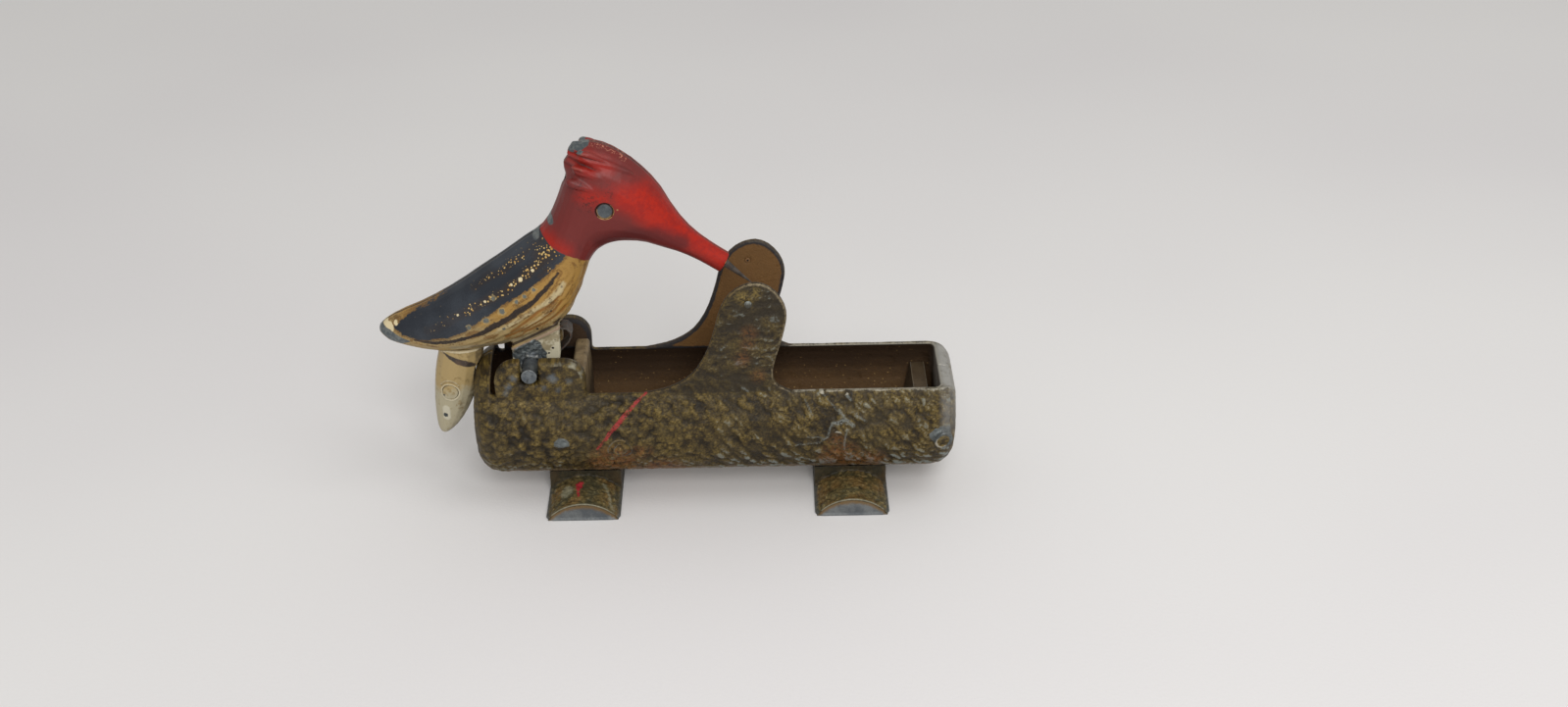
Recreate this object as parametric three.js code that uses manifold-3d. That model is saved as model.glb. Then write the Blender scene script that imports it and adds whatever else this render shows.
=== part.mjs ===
import * as THREE from "three";
import { mergeVertices } from "three/addons/utils/BufferGeometryUtils.js";
import Module from "manifold-3d";

// Toothpick dispenser. A cast metal woodpecker stands on an axle at one end of a hollow log.
// Pressing its head down sends a steel needle between two posts and into the picks in the trough.
// Millimetres, +X along the log, +Y away from the viewer, +Z up.

// Log: a round casting in a front and a rear half, open along its top.
const logLength = 117;
const logRadius = 16;
const logWall = 1.3;
const logCornerRadius = 5.8;
const mouthWidth = 25.3; // across the trough's rim, outside to outside
const domeReach = 4.7; // from the left end to where the log opens
const endWall = 4; // thickness of the log's right end
const shoulderRadius = 3.6; // rounding of the right end's top edge
const boreCornerRadius = 4.5;
const barkDepth = 0.45;
const barkPitch = 6.5; // from one row of scales to the next along the log
const barkRows = 13; // round the log
const barkWaves = 5; // bends of a row round the log
const barkBendShare = 0.9; // how far the scales wander round the log
const barkWarpShare = 2; // how far the rows wander along the log
const smoothLowShare = -0.9; // of the radius: below this height the underside is smooth
const smoothHighShare = -0.55; // above this height the bark has its whole depth
const seamGap = 0.3; // between the two halves of the log, and of the bird

// Feet: two half logs that lie crosswise.
const footWidth = 17.7;
const footLength = 39.4;
const footCrest = 4.9;
const footLip = 1;
const footLipInset = 0.4;
const saddleLength = 13;
const leftFootX = 25.8;
const rightFootInset = 25.5; // from the log's right end
const seatGap = 0.3; // between pieces that rest on each other

// Foot rivets: one for each log half in each foot.
const footRivetRadius = 1.1;
const footRivetHead = 2;
const footRivetHeadRise = 0.8;
const footRivetDepth = 2.6; // of solid foot left under the shank
const footRivetOffset = 3.6; // from the seam
const footRivetShift = 5.2; // from the foot's middle towards the trough's middle
const fitPlay = 0.15; // between a shank and its hole

// Ears: the lugs that carry the axle.
const earLeft = 6;
const earRight = 27.8;
const earTopRise = 9.2; // above the rim
const earRootDepth = 3.8; // below the rim
const earThickness = 3.5;
const earProud = 0.5;
const earCorner = 5;
const earBevel = 0.6;

// Axle.
const axleX = 14.4;
const axleRise = 5.5; // above the rim
const axleRadius = 1.9;
const notchPlay = 0.3;

// Posts that guide the needle.
const postLeft = 41;
const postSpan = 36;
const postHeight = 29.1; // above the rim
const postThickness = 1.6;
const postRoot = 1.6;
const postBevel = 0.35;
const postRivetX = 67;
const postRivetRise = 23.7; // above the rim
const postRivetRadius = 0.5;
const postRivetHead = 0.95;
const postRivetHeadRise = 0.4;
const postRivetRecess = 0.5;

// Bulkhead between the leg chamber and the trough, and the ramp that ends the trough.
const bulkheadX = 24.1;
const bulkheadThickness = 3.4;
const bulkheadRise = 3.2; // from where it leaves the round wall up to its top
const bulkheadCorner = 1.2;
const bulkheadBevel = 0.5;
const rampEndGap = 2; // to the log's end wall
const rampLength = 7.4;
const rampTopLength = 3.6;
const rampRise = 3; // above the log's axis

// Plug in the log's right end.
const endPlugRadius = 3.7;
const endPlugShank = 2.4;
const endPlugRise = 0.5;

// Knots on the front half: a ringed twig stub and three low scars.
const stubInset = 3.8; // from the log's right end
const stubDrop = 2.3; // below the log's axis
const stubRadius = 2.4;
const stubRing = 0.6;
const stubLength = 3.4;
const stubSink = 1.6;
const scarRadius = 2.1;
const scarRise = 0.45;
const stubWayShares = [0.35, -1, -0.2]; // the way that the stub points

// Scars: share of the log's length, drop below its axis as a share of its radius, and stretch.
const scarShares = [
  [0.182, 0.15, 1],
  [0.302, 0.262, 1.5],
  [0.754, 0.025, 1.3],
];

// Bird: two hollow halves that meet on the middle plane.
const tailReach = 36.6; // from the axle back to the tail tip
const birdLength = 85.2;
const birdHeight = 54.2;
const bellyRise = 1; // from the axle up to the level that the bird's heights start from
const birdWidth = 17.2;
const shellWall = 1.6;
const legInner = 3;
const legThickness = 2.2;
const legBevel = 0.35;
const legBackReach = 4.5;
const legFrontReach = 7.1;
const legDrop = 4;
const legTopRise = 10;
const legRearRise = 6.7; // top of the leg's rear edge above the axle
const legToeRise = 2; // above the axle, where the front edge starts to curve back
const collarRadius = 3.1;
const collarLength = 1.3;
const crestRidge = 1.25;
const eyeRadius = 1.95;
const eyeRecess = 0.35;
const eyeBack = 28.9; // from the beak's end back to the eye
const eyeDrop = 15.1; // from the crown down to the eye

// Needle in the beak.
const needleRadius = 1.05;
const needleLength = 9.6;
const needleShank = 5;
const needlePitch = THREE.MathUtils.degToRad(-41);
const needleBackset = 0.6;
const needleTip = 0.08;

// Tail: the solid weight that hangs below the body and leans on the log's end.
const tailLength = 24;
const tailDepth = 13.2;
const tailThickness = 8.8;
const tailBack = 25; // from the axle back to the weight's rear edge
const tailDrop = 21.8; // from the axle down to the weight's lower end
const tailPlugRadius = 1.9;
const tailPlugDepth = 2.2;
const tailPlugBack = 20.5;
const tailPlugDrop = 8.9;
const tailPlugFaceShare = 0.455; // of the weight's thickness, from the middle plane to the plug's face

// Return spring: a bent strip between the legs, from the belly to the log's floor.
const springWidth = 4.8;
const springThickness = 0.45;
const springReach = 9.6;
const springRise = 7.3; // from the axle up to the strip's nose
const springFootGap = 0.28; // between the strip's edges and the log's floor
const springRivetRadius = 0.7;
const springRivetHead = 1.3;
const springRivetHeadRise = 0.5;
const springRivetLength = 2.6;
const springRivetShare = 0.14; // along the strip, from its upper end

const overrun = 1; // how far a cutting body runs past the face that it cuts
const weldReach = 0.0001; // corners closer than this are one corner

// Heights and widths that follow from those sizes.
const logAxisZ = footCrest + seatGap + logRadius;
const boreRadius = logRadius - logWall;
const rimHalfWidth = mouthWidth / 2;
const rimZ = logAxisZ + Math.sqrt(logRadius ** 2 - rimHalfWidth ** 2);
const rightFootX = logLength - rightFootInset;
const rampEndX = logLength - endWall - rampEndGap;
const rampFootX = rampEndX - rampLength;
const rampTopX = rampEndX - rampTopLength;
const stubX = logLength - stubInset;
const axleZ = rimZ + axleRise;
const earOuterY = rimHalfWidth + earProud;
const earInnerY = earOuterY - earThickness;
const legOuter = legInner + legThickness;
const bellyZ = axleZ + bellyRise;
const tailTipX = axleX - tailReach;
const springFloorZ = logAxisZ - Math.sqrt(boreRadius ** 2 - (springWidth / 2) ** 2);
const springDrop = axleZ - springFloorZ - springFootGap - springThickness / 2;

// Outline of a post, left to right: share of its span, share of its height.
const postShares = [
  [0, 0],
  [0.15, 0.04],
  [0.26, 0.1],
  [0.35, 0.19],
  [0.43, 0.35],
  [0.49, 0.56],
  [0.53, 0.75],
  [0.59, 0.89],
  [0.68, 0.975],
  [0.78, 1],
  [0.87, 0.955],
  [0.945, 0.845],
  [0.975, 0.715],
  [0.96, 0.575],
  [0.93, 0.43],
  [0.89, 0.26],
  [0.88, 0.145],
  [0.91, 0.06],
  [1, 0],
];

// Sections of the bird from tail tip to beak: the back point and the belly point, each as shares
// of its length and height, and the half width as a share of its width.
const birdShares = [
  [0.0, 0.132, 0.002, 0.1, 0.07],
  [0.018, 0.16, 0.023, 0.064, 0.15],
  [0.062, 0.199, 0.065, 0.04, 0.25],
  [0.137, 0.249, 0.142, 0.014, 0.36],
  [0.22, 0.323, 0.225, 0.008, 0.43],
  [0.296, 0.404, 0.314, 0.03, 0.48],
  [0.358, 0.471, 0.398, 0.056, 0.5],
  [0.42, 0.541, 0.478, 0.106, 0.5],
  [0.472, 0.597, 0.533, 0.168, 0.48],
  [0.502, 0.658, 0.565, 0.263, 0.445],
  [0.521, 0.721, 0.583, 0.327, 0.41],
  [0.537, 0.787, 0.596, 0.39, 0.39],
  [0.553, 0.87, 0.61, 0.445, 0.39],
  [0.585, 0.985, 0.628, 0.485, 0.4],
  [0.625, 1.0, 0.645, 0.505, 0.41],
  [0.665, 0.985, 0.664, 0.52, 0.415],
  [0.715, 0.938, 0.692, 0.53, 0.41],
  [0.761, 0.876, 0.718, 0.532, 0.39],
  [0.806, 0.793, 0.759, 0.526, 0.34],
  [0.853, 0.662, 0.808, 0.5, 0.265],
  [0.898, 0.573, 0.86, 0.47, 0.205],
  [0.948, 0.507, 0.912, 0.426, 0.168],
  [0.997, 0.454, 0.965, 0.37, 0.152],
];

// Three ridges of the crest: rear end and front end as shares of the bird's length and height,
// and how far out they lie as a share of its width.
const crestShares = [
  [0.585, 0.975, 0.745, 0.87, 0.24],
  [0.57, 0.92, 0.715, 0.82, 0.31],
  [0.556, 0.862, 0.67, 0.79, 0.35],
];

// Outline of a crest ridge from its front end: share of its length, share of its radius.
const ridgeShares = [
  [0, 0],
  [0.1, 0.45],
  [0.45, 0.85],
  [0.8, 1],
  [0.94, 0.75],
  [1, 0],
];

// Sections of the tail weight from the top down: share of its length, then the rear and front
// edges as shares of its depth, and the half thickness as a share of its thickness.
const tailShares = [
  [0, 0.17, 1.0, 0.5],
  [0.1, 0.13, 0.97, 0.5],
  [0.22, 0.08, 0.93, 0.48],
  [0.41, 0.03, 0.85, 0.455],
  [0.62, 0.0, 0.705, 0.42],
  [0.8, 0.0, 0.535, 0.365],
  [0.92, 0.02, 0.36, 0.29],
  [0.98, 0.06, 0.23, 0.18],
  [1, 0.11, 0.17, 0.07],
];

// Middle line of the spring from its upper end: share of its reach, then a share of its rise
// above the axle or, where it is negative, of its drop below the axle.
const springShares = [
  [-0.3, 0.265],
  [0.06, 0.537],
  [0.45, 0.826],
  [0.76, 1.0],
  [0.95, 0.93],
  [1.0, 0.722],
  [0.92, 0.473],
  [0.74, 0.232],
  [0.44, -0.04],
  [0.05, -0.157],
  [-0.33, -0.31],
  [-0.58, -0.51],
  [-0.64, -0.73],
  [-0.54, -0.905],
  [-0.33, -0.985],
  [0.02, -1.0],
  [0.36, -0.995],
];

const wasm = await Module();
wasm.setup();
const { Manifold, Mesh: SolidMesh } = wasm;

// A closed three.js geometry as a solid that can be joined and cut.
function solid(geometry) {
  const bare = geometry.index ? geometry.toNonIndexed() : geometry.clone();
  bare.deleteAttribute("normal");
  bare.deleteAttribute("uv");
  const merged = mergeVertices(bare, weldReach);
  return new Manifold(
    new SolidMesh({
      numProp: 3,
      vertProperties: merged.attributes.position.array,
      triVerts: new Uint32Array(merged.index.array),
    }),
  );
}

function geometryOf(shape) {
  const { vertProperties, triVerts } = shape.getMesh();
  const geometry = new THREE.BufferGeometry();
  geometry.setAttribute("position", new THREE.BufferAttribute(vertProperties, 3));
  geometry.setIndex(new THREE.BufferAttribute(triVerts, 1));
  const flat = geometry.toNonIndexed();
  flat.computeVertexNormals();
  return flat;
}

// A skin over a row of rings of points, closed at both ends by a fan.
function loft(rings) {
  const count = rings[0].length;
  const points = rings.flat();
  const middle = (ring) => ring.reduce((sum, p) => sum.add(p), new THREE.Vector3()).divideScalar(count);
  const firstPole = points.push(middle(rings[0])) - 1;
  const lastPole = points.push(middle(rings[rings.length - 1])) - 1;
  const faces = [];
  for (let r = 0; r + 1 < rings.length; r++) {
    for (let i = 0; i < count; i++) {
      const a = r * count + i;
      const b = r * count + ((i + 1) % count);
      faces.push(a, b, b + count, a, b + count, a + count);
    }
  }
  const lastRing = (rings.length - 1) * count;
  for (let i = 0; i < count; i++) {
    const next = (i + 1) % count;
    faces.push(firstPole, next, i);
    faces.push(lastPole, lastRing + i, lastRing + next);
  }
  const build = (order) => {
    const geometry = new THREE.BufferGeometry().setFromPoints(points);
    geometry.setIndex(order);
    return solid(geometry);
  };
  const made = build(faces);
  return made.volume() > 0 ? made : build(faces.reverse());
}

function box(x0, x1, y0, y1, z0, z1) {
  const geometry = new THREE.BoxGeometry(x1 - x0, y1 - y0, z1 - z0);
  geometry.translate((x0 + x1) / 2, (y0 + y1) / 2, (z0 + z1) / 2);
  return solid(geometry);
}

// The turn that brings the Y axis to a direction.
function turnFromY(way) {
  return new THREE.Quaternion().setFromUnitVectors(new THREE.Vector3(0, 1, 0), way.clone().normalize());
}

// A round bar from one point to another, with its own radius at each end.
function bar(from, to, startRadius, endRadius = startRadius, sides = 20) {
  const along = to.clone().sub(from);
  const geometry = new THREE.CylinderGeometry(endRadius, startRadius, along.length(), sides);
  geometry.applyQuaternion(turnFromY(along));
  geometry.translate(...from.clone().addScaledVector(along, 0.5).toArray());
  return solid(geometry);
}

// A flat shape drawn in X and Z, thickened from y0 to y1 with rounded edges.
function slabY(shape, y0, y1, bevel = 0, curveSegments = 4) {
  const geometry = new THREE.ExtrudeGeometry(shape, {
    depth: y1 - y0 - 2 * bevel,
    bevelEnabled: bevel > 0,
    bevelThickness: bevel,
    bevelSize: bevel,
    bevelOffset: -bevel,
    bevelSegments: 1,
    curveSegments,
  });
  geometry.rotateX(Math.PI / 2);
  geometry.translate(0, y1 - bevel, 0);
  return solid(geometry);
}

// A flat shape drawn in Y and Z, thickened from x0 to x1 with rounded edges.
function slabX(shape, x0, x1, bevel = 0) {
  const geometry = new THREE.ExtrudeGeometry(shape, {
    depth: x1 - x0 - 2 * bevel,
    bevelEnabled: bevel > 0,
    bevelThickness: bevel,
    bevelSize: bevel,
    bevelOffset: -bevel,
    bevelSegments: 1,
    curveSegments: 12,
  });
  geometry.rotateX(Math.PI / 2);
  geometry.rotateZ(Math.PI / 2);
  geometry.translate(x0 + bevel, 0, 0);
  return solid(geometry);
}

// One side of the seam on the middle plane: -1 keeps the front, 1 keeps the rear.
function halfOf(shape, side) {
  const bounds = shape.boundingBox();
  const far = Math.max(-bounds.min[1], bounds.max[1]) + overrun;
  const near = seamGap / 2;
  const [y0, y1] = side < 0 ? [-far, -near] : [near, far];
  const keep = box(
    bounds.min[0] - overrun,
    bounds.max[0] + overrun,
    y0,
    y1,
    bounds.min[2] - overrun,
    bounds.max[2] + overrun,
  );
  return shape.intersect(keep);
}

// Bark scales as a groove depth from 0 to 1. They fade out along the smooth underside.
function barkGroove(angle, x) {
  const phase = (2 * Math.PI * x) / barkPitch;
  const round = Math.sin(barkRows * angle + barkBendShare * Math.sin(phase));
  const along = Math.sin(phase + barkWarpShare * Math.sin(barkWaves * angle));
  const underside = THREE.MathUtils.smoothstep(Math.sin(angle), smoothLowShare, smoothHighShare);
  return ((1 + round * along) / 2) * underside;
}

// A round body along the log's axis from x0 to x1, with rounded end corners.
function barrel({ x0, x1, radius, corner0, corner1, sides, stations, barked = false }) {
  const cornerSteps = 4;
  const profile = [];
  for (let k = 0; k <= cornerSteps; k++) {
    const a = (k / cornerSteps) * (Math.PI / 2);
    profile.push([x0 + corner0 * (1 - Math.cos(a)), radius - corner0 * (1 - Math.sin(a)), 0]);
  }
  const straight = x1 - corner1 - x0 - corner0;
  for (let k = 1; k < stations; k++) {
    profile.push([x0 + corner0 + (straight * k) / stations, radius, 1]);
  }
  for (let k = cornerSteps; k >= 0; k--) {
    const a = (k / cornerSteps) * (Math.PI / 2);
    profile.push([x1 - corner1 * (1 - Math.cos(a)), radius - corner1 * (1 - Math.sin(a)), 0]);
  }
  const rings = profile.map(([x, r, rough]) => {
    const ring = [];
    for (let i = 0; i < sides; i++) {
      const angle = ((i + 0.5) / sides) * 2 * Math.PI;
      const depth = barked ? rough * barkDepth * barkGroove(angle, x) : 0;
      ring.push(
        new THREE.Vector3(x, Math.cos(angle) * (r - depth), logAxisZ + Math.sin(angle) * (r - depth)),
      );
    }
    return ring;
  });
  return loft(rings);
}

// The log's outside. grow moves the whole surface outwards.
function logForm(grow, sides, stations, barked) {
  return barrel({
    x0: -grow,
    x1: logLength + grow,
    radius: logRadius + grow,
    corner0: logCornerRadius + grow,
    corner1: logCornerRadius + grow,
    sides,
    stations,
    barked,
  });
}

function logBore() {
  return barrel({
    x0: logWall,
    x1: logLength - endWall,
    radius: boreRadius,
    corner0: boreCornerRadius,
    corner1: logWall,
    sides: 32,
    stations: 2,
  });
}

// What is open above the log: the trough's mouth, and the air over the rounded right shoulder.
function logOpening() {
  const side = logRadius + overrun;
  const top = logAxisZ + logRadius + overrun;
  const end = logLength + overrun;
  const mouth = box(domeReach, end, -side, side, rimZ, top);
  const shoulderX = logLength - shoulderRadius;
  const shoulderZ = rimZ - shoulderRadius;
  const corner = box(shoulderX, end, -side, side, shoulderZ, top);
  const round = bar(
    new THREE.Vector3(shoulderX, -side - overrun, shoulderZ),
    new THREE.Vector3(shoulderX, side + overrun, shoulderZ),
    shoulderRadius,
    shoulderRadius,
    24,
  );
  return mouth.add(corner.subtract(round));
}

function post(side) {
  const shape = new THREE.Shape();
  const [first, ...rest] = postShares.map(
    ([along, up]) => new THREE.Vector2(postLeft + along * postSpan, rimZ + up * postHeight),
  );
  shape.moveTo(first.x, first.y - postRoot);
  shape.lineTo(first.x, first.y);
  shape.splineThru(rest);
  shape.lineTo(postLeft + postSpan, rimZ - postRoot);
  const outer = rimHalfWidth;
  const inner = rimHalfWidth - postThickness;
  return side < 0 ? slabY(shape, -outer, -inner, postBevel, 2) : slabY(shape, inner, outer, postBevel, 2);
}

function ear(side) {
  const bottom = rimZ - earRootDepth;
  const top = rimZ + earTopRise;
  const notchHalf = axleRadius + notchPlay;
  const notchFloor = axleZ - axleRadius - notchPlay;
  const leftCorner = Math.min(earCorner, axleX - notchHalf - earLeft - 2 * earBevel);
  const shape = new THREE.Shape();
  shape.moveTo(earLeft, bottom);
  shape.lineTo(earRight, bottom);
  shape.lineTo(earRight, top - earCorner);
  shape.absarc(earRight - earCorner, top - earCorner, earCorner, 0, Math.PI / 2);
  shape.lineTo(axleX + notchHalf, top);
  shape.lineTo(axleX + notchHalf, notchFloor);
  shape.lineTo(axleX - notchHalf, notchFloor);
  shape.lineTo(axleX - notchHalf, top);
  shape.absarc(earLeft + leftCorner, top - leftCorner, leftCorner, Math.PI / 2, Math.PI);
  shape.closePath();
  return side < 0
    ? slabY(shape, -earOuterY, -earInnerY, earBevel)
    : slabY(shape, earInnerY, earOuterY, earBevel);
}

const footRivetSpots = [
  { name: "left_front", x: leftFootX + footRivetShift, y: -footRivetOffset },
  { name: "left_rear", x: leftFootX + footRivetShift, y: footRivetOffset },
  { name: "right_front", x: rightFootX - footRivetShift, y: -footRivetOffset },
  { name: "right_rear", x: rightFootX - footRivetShift, y: footRivetOffset },
];

function postRivetHole(side) {
  const z = rimZ + postRivetRise;
  const far = side * (rimHalfWidth + overrun);
  const near = side * (rimHalfWidth - postThickness - overrun);
  return bar(
    new THREE.Vector3(postRivetX, near, z),
    new THREE.Vector3(postRivetX, far, z),
    postRivetRadius + fitPlay,
    postRivetRadius + fitPlay,
    12,
  );
}

// The ringed stub at the log's right end.
function twigStub() {
  const root = new THREE.Vector3(stubX, -Math.sqrt(boreRadius ** 2 - stubDrop ** 2), logAxisZ - stubDrop);
  const out = new THREE.Vector3(...stubWayShares).normalize();
  const start = root.clone().addScaledVector(out, logWall - stubSink);
  const end = root.clone().addScaledVector(out, stubLength - stubSink);
  const cup = root.clone().addScaledVector(out, stubLength - stubSink - stubRing);
  const past = end.clone().addScaledVector(out, overrun);
  const whole = bar(start, end, stubRadius, stubRadius, 16);
  const hollow = bar(cup, past, stubRadius - stubRing, stubRadius - stubRing, 12);
  return whole.subtract(hollow);
}

function scar([along, down, stretch]) {
  const drop = down * logRadius;
  const geometry = new THREE.SphereGeometry(scarRadius, 12, 8);
  geometry.scale(stretch, 1, 1);
  const depth = Math.sqrt(logRadius ** 2 - drop ** 2) + scarRise - scarRadius;
  geometry.translate(along * logLength, -depth, logAxisZ - drop);
  return solid(geometry);
}

function logHalf(side) {
  let form = logForm(0, 40, 24, true);
  if (side < 0) {
    form = scarShares.reduce((made, shares) => made.add(scar(shares)), form).add(twigStub());
  }
  form = form.subtract(logOpening()).add(ear(side)).add(post(side)).subtract(logBore());
  for (const spot of footRivetSpots) {
    form = form.subtract(
      bar(
        new THREE.Vector3(spot.x, spot.y, 0),
        new THREE.Vector3(spot.x, spot.y, logAxisZ),
        footRivetRadius + fitPlay,
      ),
    );
  }
  form = form.subtract(postRivetHole(side));
  form = form.subtract(
    bar(
      new THREE.Vector3(logLength - endWall - overrun, 0, logAxisZ),
      new THREE.Vector3(logLength + overrun, 0, logAxisZ),
      endPlugShank + fitPlay,
    ),
  );
  return halfOf(form, side);
}

function bulkhead() {
  const radius = boreRadius - seatGap;
  const half = earInnerY - seatGap;
  const shoulder = Math.sqrt(radius ** 2 - half ** 2);
  const angle = Math.atan2(shoulder, half);
  const top = logAxisZ + shoulder + bulkheadRise;
  const shape = new THREE.Shape();
  shape.moveTo(half, logAxisZ + shoulder);
  shape.lineTo(half, top - bulkheadCorner);
  shape.absarc(half - bulkheadCorner, top - bulkheadCorner, bulkheadCorner, 0, Math.PI / 2);
  shape.absarc(bulkheadCorner - half, top - bulkheadCorner, bulkheadCorner, Math.PI / 2, Math.PI);
  shape.lineTo(-half, logAxisZ + shoulder);
  shape.absarc(0, logAxisZ, radius, Math.PI - angle, angle, false);
  return slabX(shape, bulkheadX, bulkheadX + bulkheadThickness, bulkheadBevel);
}

function ramp() {
  const radius = boreRadius - seatGap;
  const low = logAxisZ - boreRadius;
  const shape = new THREE.Shape();
  shape.moveTo(rampFootX, low);
  shape.lineTo(rampEndX, low);
  shape.lineTo(rampEndX, logAxisZ + rampRise);
  shape.lineTo(rampTopX, logAxisZ + rampRise);
  shape.closePath();
  const wedge = slabY(shape, -logRadius, logRadius);
  const round = bar(
    new THREE.Vector3(rampFootX - overrun, 0, logAxisZ),
    new THREE.Vector3(rampEndX + overrun, 0, logAxisZ),
    radius,
    radius,
    44,
  );
  return wedge.intersect(round);
}

function foot(x) {
  const half = footWidth / 2;
  const chord = half - footLipInset;
  const rise = footCrest - footLip;
  const radius = (chord ** 2 + rise ** 2) / (2 * rise);
  const sweep = Math.asin(chord / radius);
  const shape = new THREE.Shape();
  shape.moveTo(x - half, 0);
  shape.lineTo(x + half, 0);
  shape.lineTo(x + half, footLip - footLipInset);
  shape.lineTo(x + chord, footLip);
  shape.absarc(x, footCrest - radius, radius, Math.PI / 2 - sweep, Math.PI / 2 + sweep);
  shape.lineTo(x - half, footLip - footLipInset);
  const arch = slabY(shape, -footLength / 2, footLength / 2, 0, 12);
  const saddle = box(x - half, x + half, -saddleLength / 2, saddleLength / 2, 0, logAxisZ);
  const cradle = bar(
    new THREE.Vector3(x - footWidth, 0, logAxisZ),
    new THREE.Vector3(x + footWidth, 0, logAxisZ),
    logRadius + seatGap,
    logRadius + seatGap,
    64,
  );
  let made = arch.add(saddle).subtract(cradle);
  for (const spot of footRivetSpots) {
    made = made.subtract(
      bar(
        new THREE.Vector3(spot.x, spot.y, footRivetDepth - fitPlay),
        new THREE.Vector3(spot.x, spot.y, logAxisZ),
        footRivetRadius + fitPlay,
      ),
    );
  }
  return made;
}

function footRivet({ x, y }) {
  const highSide = Math.abs(y) + footRivetHead;
  const floor = logAxisZ - Math.sqrt(boreRadius ** 2 - highSide ** 2) + fitPlay;
  const profile = [
    new THREE.Vector2(0, footRivetDepth),
    new THREE.Vector2(footRivetRadius, footRivetDepth),
    new THREE.Vector2(footRivetRadius, floor),
    new THREE.Vector2(footRivetHead, floor),
  ];
  const domeSteps = 3;
  for (let k = 1; k <= domeSteps; k++) {
    const a = ((k / domeSteps) * Math.PI) / 2;
    const reach = k < domeSteps ? footRivetHead * Math.cos(a) : 0;
    profile.push(new THREE.Vector2(reach, floor + footRivetHeadRise * Math.sin(a)));
  }
  const geometry = new THREE.LatheGeometry(profile, 14);
  geometry.rotateX(Math.PI / 2);
  geometry.translate(x, y, 0);
  return solid(geometry);
}

function postRivet(side) {
  const z = rimZ + postRivetRise;
  const face = side * (rimHalfWidth + fitPlay);
  const inner = side * (rimHalfWidth - postThickness + postRivetRecess);
  const crown = face + side * postRivetHeadRise;
  const shank = bar(
    new THREE.Vector3(postRivetX, inner, z),
    new THREE.Vector3(postRivetX, crown, z),
    postRivetRadius,
    postRivetRadius,
    12,
  );
  const head = bar(
    new THREE.Vector3(postRivetX, face, z),
    new THREE.Vector3(postRivetX, crown, z),
    postRivetHead,
    postRivetHead - postRivetHeadRise / 2,
    16,
  );
  return shank.add(head);
}

function endPlug() {
  const inside = new THREE.Vector3(logLength - endWall, 0, logAxisZ);
  const face = new THREE.Vector3(logLength + fitPlay, 0, logAxisZ);
  const outside = new THREE.Vector3(logLength + endPlugRise, 0, logAxisZ);
  return bar(inside, outside, endPlugShank).add(
    bar(face, outside, endPlugRadius, endPlugRadius - fitPlay, 28),
  );
}

const lastBirdRow = birdShares.length - 1;
const hollowFirstRow = 2; // the cavity reaches from this section
const hollowLastRow = lastBirdRow - 4; // to this one, short of the beak
const birdX = (share) => tailTipX + share * birdLength;
const birdZ = (share) => bellyZ + share * birdHeight;

// The bird's sections, smoothed from one to the next. grow moves the skin outwards.
function birdSections(grow, first, last, steps) {
  const rows = birdShares.slice(first, last + 1);
  const curve = (pick) => new THREE.CatmullRomCurve3(rows.map(pick));
  const back = curve((row) => new THREE.Vector3(birdX(row[0]), 0, birdZ(row[1])));
  const belly = curve((row) => new THREE.Vector3(birdX(row[2]), 0, birdZ(row[3])));
  const width = curve((row) => new THREE.Vector3(0, row[4] * birdWidth, 0));
  const sections = [];
  for (let k = 0; k <= steps; k++) {
    const t = k / steps;
    const high = back.getPoint(t);
    const low = belly.getPoint(t);
    const up = high.clone().sub(low);
    const halfHeight = up.length() / 2 + grow;
    sections.push({
      middle: high.add(low).multiplyScalar(0.5),
      up: up.normalize(),
      halfHeight,
      halfWidth: width.getPoint(t).y + grow,
    });
  }
  return sections;
}

function birdForm(grow, first, last, steps, sides) {
  const rings = birdSections(grow, first, last, steps).map(({ middle, up, halfHeight, halfWidth }) => {
    const ring = [];
    for (let i = 0; i < sides; i++) {
      const angle = ((i + 0.5) / sides) * 2 * Math.PI;
      const point = middle.clone().addScaledVector(up, Math.cos(angle) * halfHeight);
      point.y = Math.sin(angle) * halfWidth;
      ring.push(point);
    }
    return ring;
  });
  return loft(rings);
}

// A ridge of the crest: a spindle that swells from its front end to its rear.
function crestRidgeOn(side, [rearX, rearZ, frontX, frontZ, out]) {
  const rear = new THREE.Vector3(birdX(rearX), side * out * birdWidth, birdZ(rearZ));
  const front = new THREE.Vector3(birdX(frontX), side * out * birdWidth, birdZ(frontZ));
  const along = rear.clone().sub(front);
  const profile = ridgeShares.map(([t, r]) => new THREE.Vector2(r * crestRidge, t * along.length()));
  const geometry = new THREE.LatheGeometry(profile, 8);
  geometry.applyQuaternion(turnFromY(along));
  geometry.translate(...front.toArray());
  return solid(geometry);
}

function leg(side) {
  const top = axleZ + legTopRise;
  const shape = new THREE.Shape();
  shape.moveTo(axleX - legBackReach, axleZ + legRearRise);
  shape.lineTo(axleX - legBackReach, axleZ);
  shape.quadraticCurveTo(axleX - legBackReach, axleZ - legDrop, axleX, axleZ - legDrop);
  shape.quadraticCurveTo(axleX + legFrontReach, axleZ - legDrop, axleX + legFrontReach, axleZ + legToeRise);
  shape.lineTo(axleX + legFrontReach, top);
  shape.lineTo(axleX, top);
  return side < 0
    ? slabY(shape, -legOuter, -legInner, legBevel)
    : slabY(shape, legInner, legOuter, legBevel);
}

const beakEnd = () => {
  const [backX, backZ, lowX, lowZ] = birdShares[lastBirdRow];
  return new THREE.Vector3((birdX(backX) + birdX(lowX)) / 2, 0, (birdZ(backZ) + birdZ(lowZ)) / 2);
};
const needleWay = new THREE.Vector3(Math.cos(needlePitch), 0, Math.sin(needlePitch));
const needleRoot = () => beakEnd().addScaledVector(needleWay, -needleBackset);
const eyeX = birdX(1) - eyeBack;
const eyeZ = birdZ(1) - eyeDrop;

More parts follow.
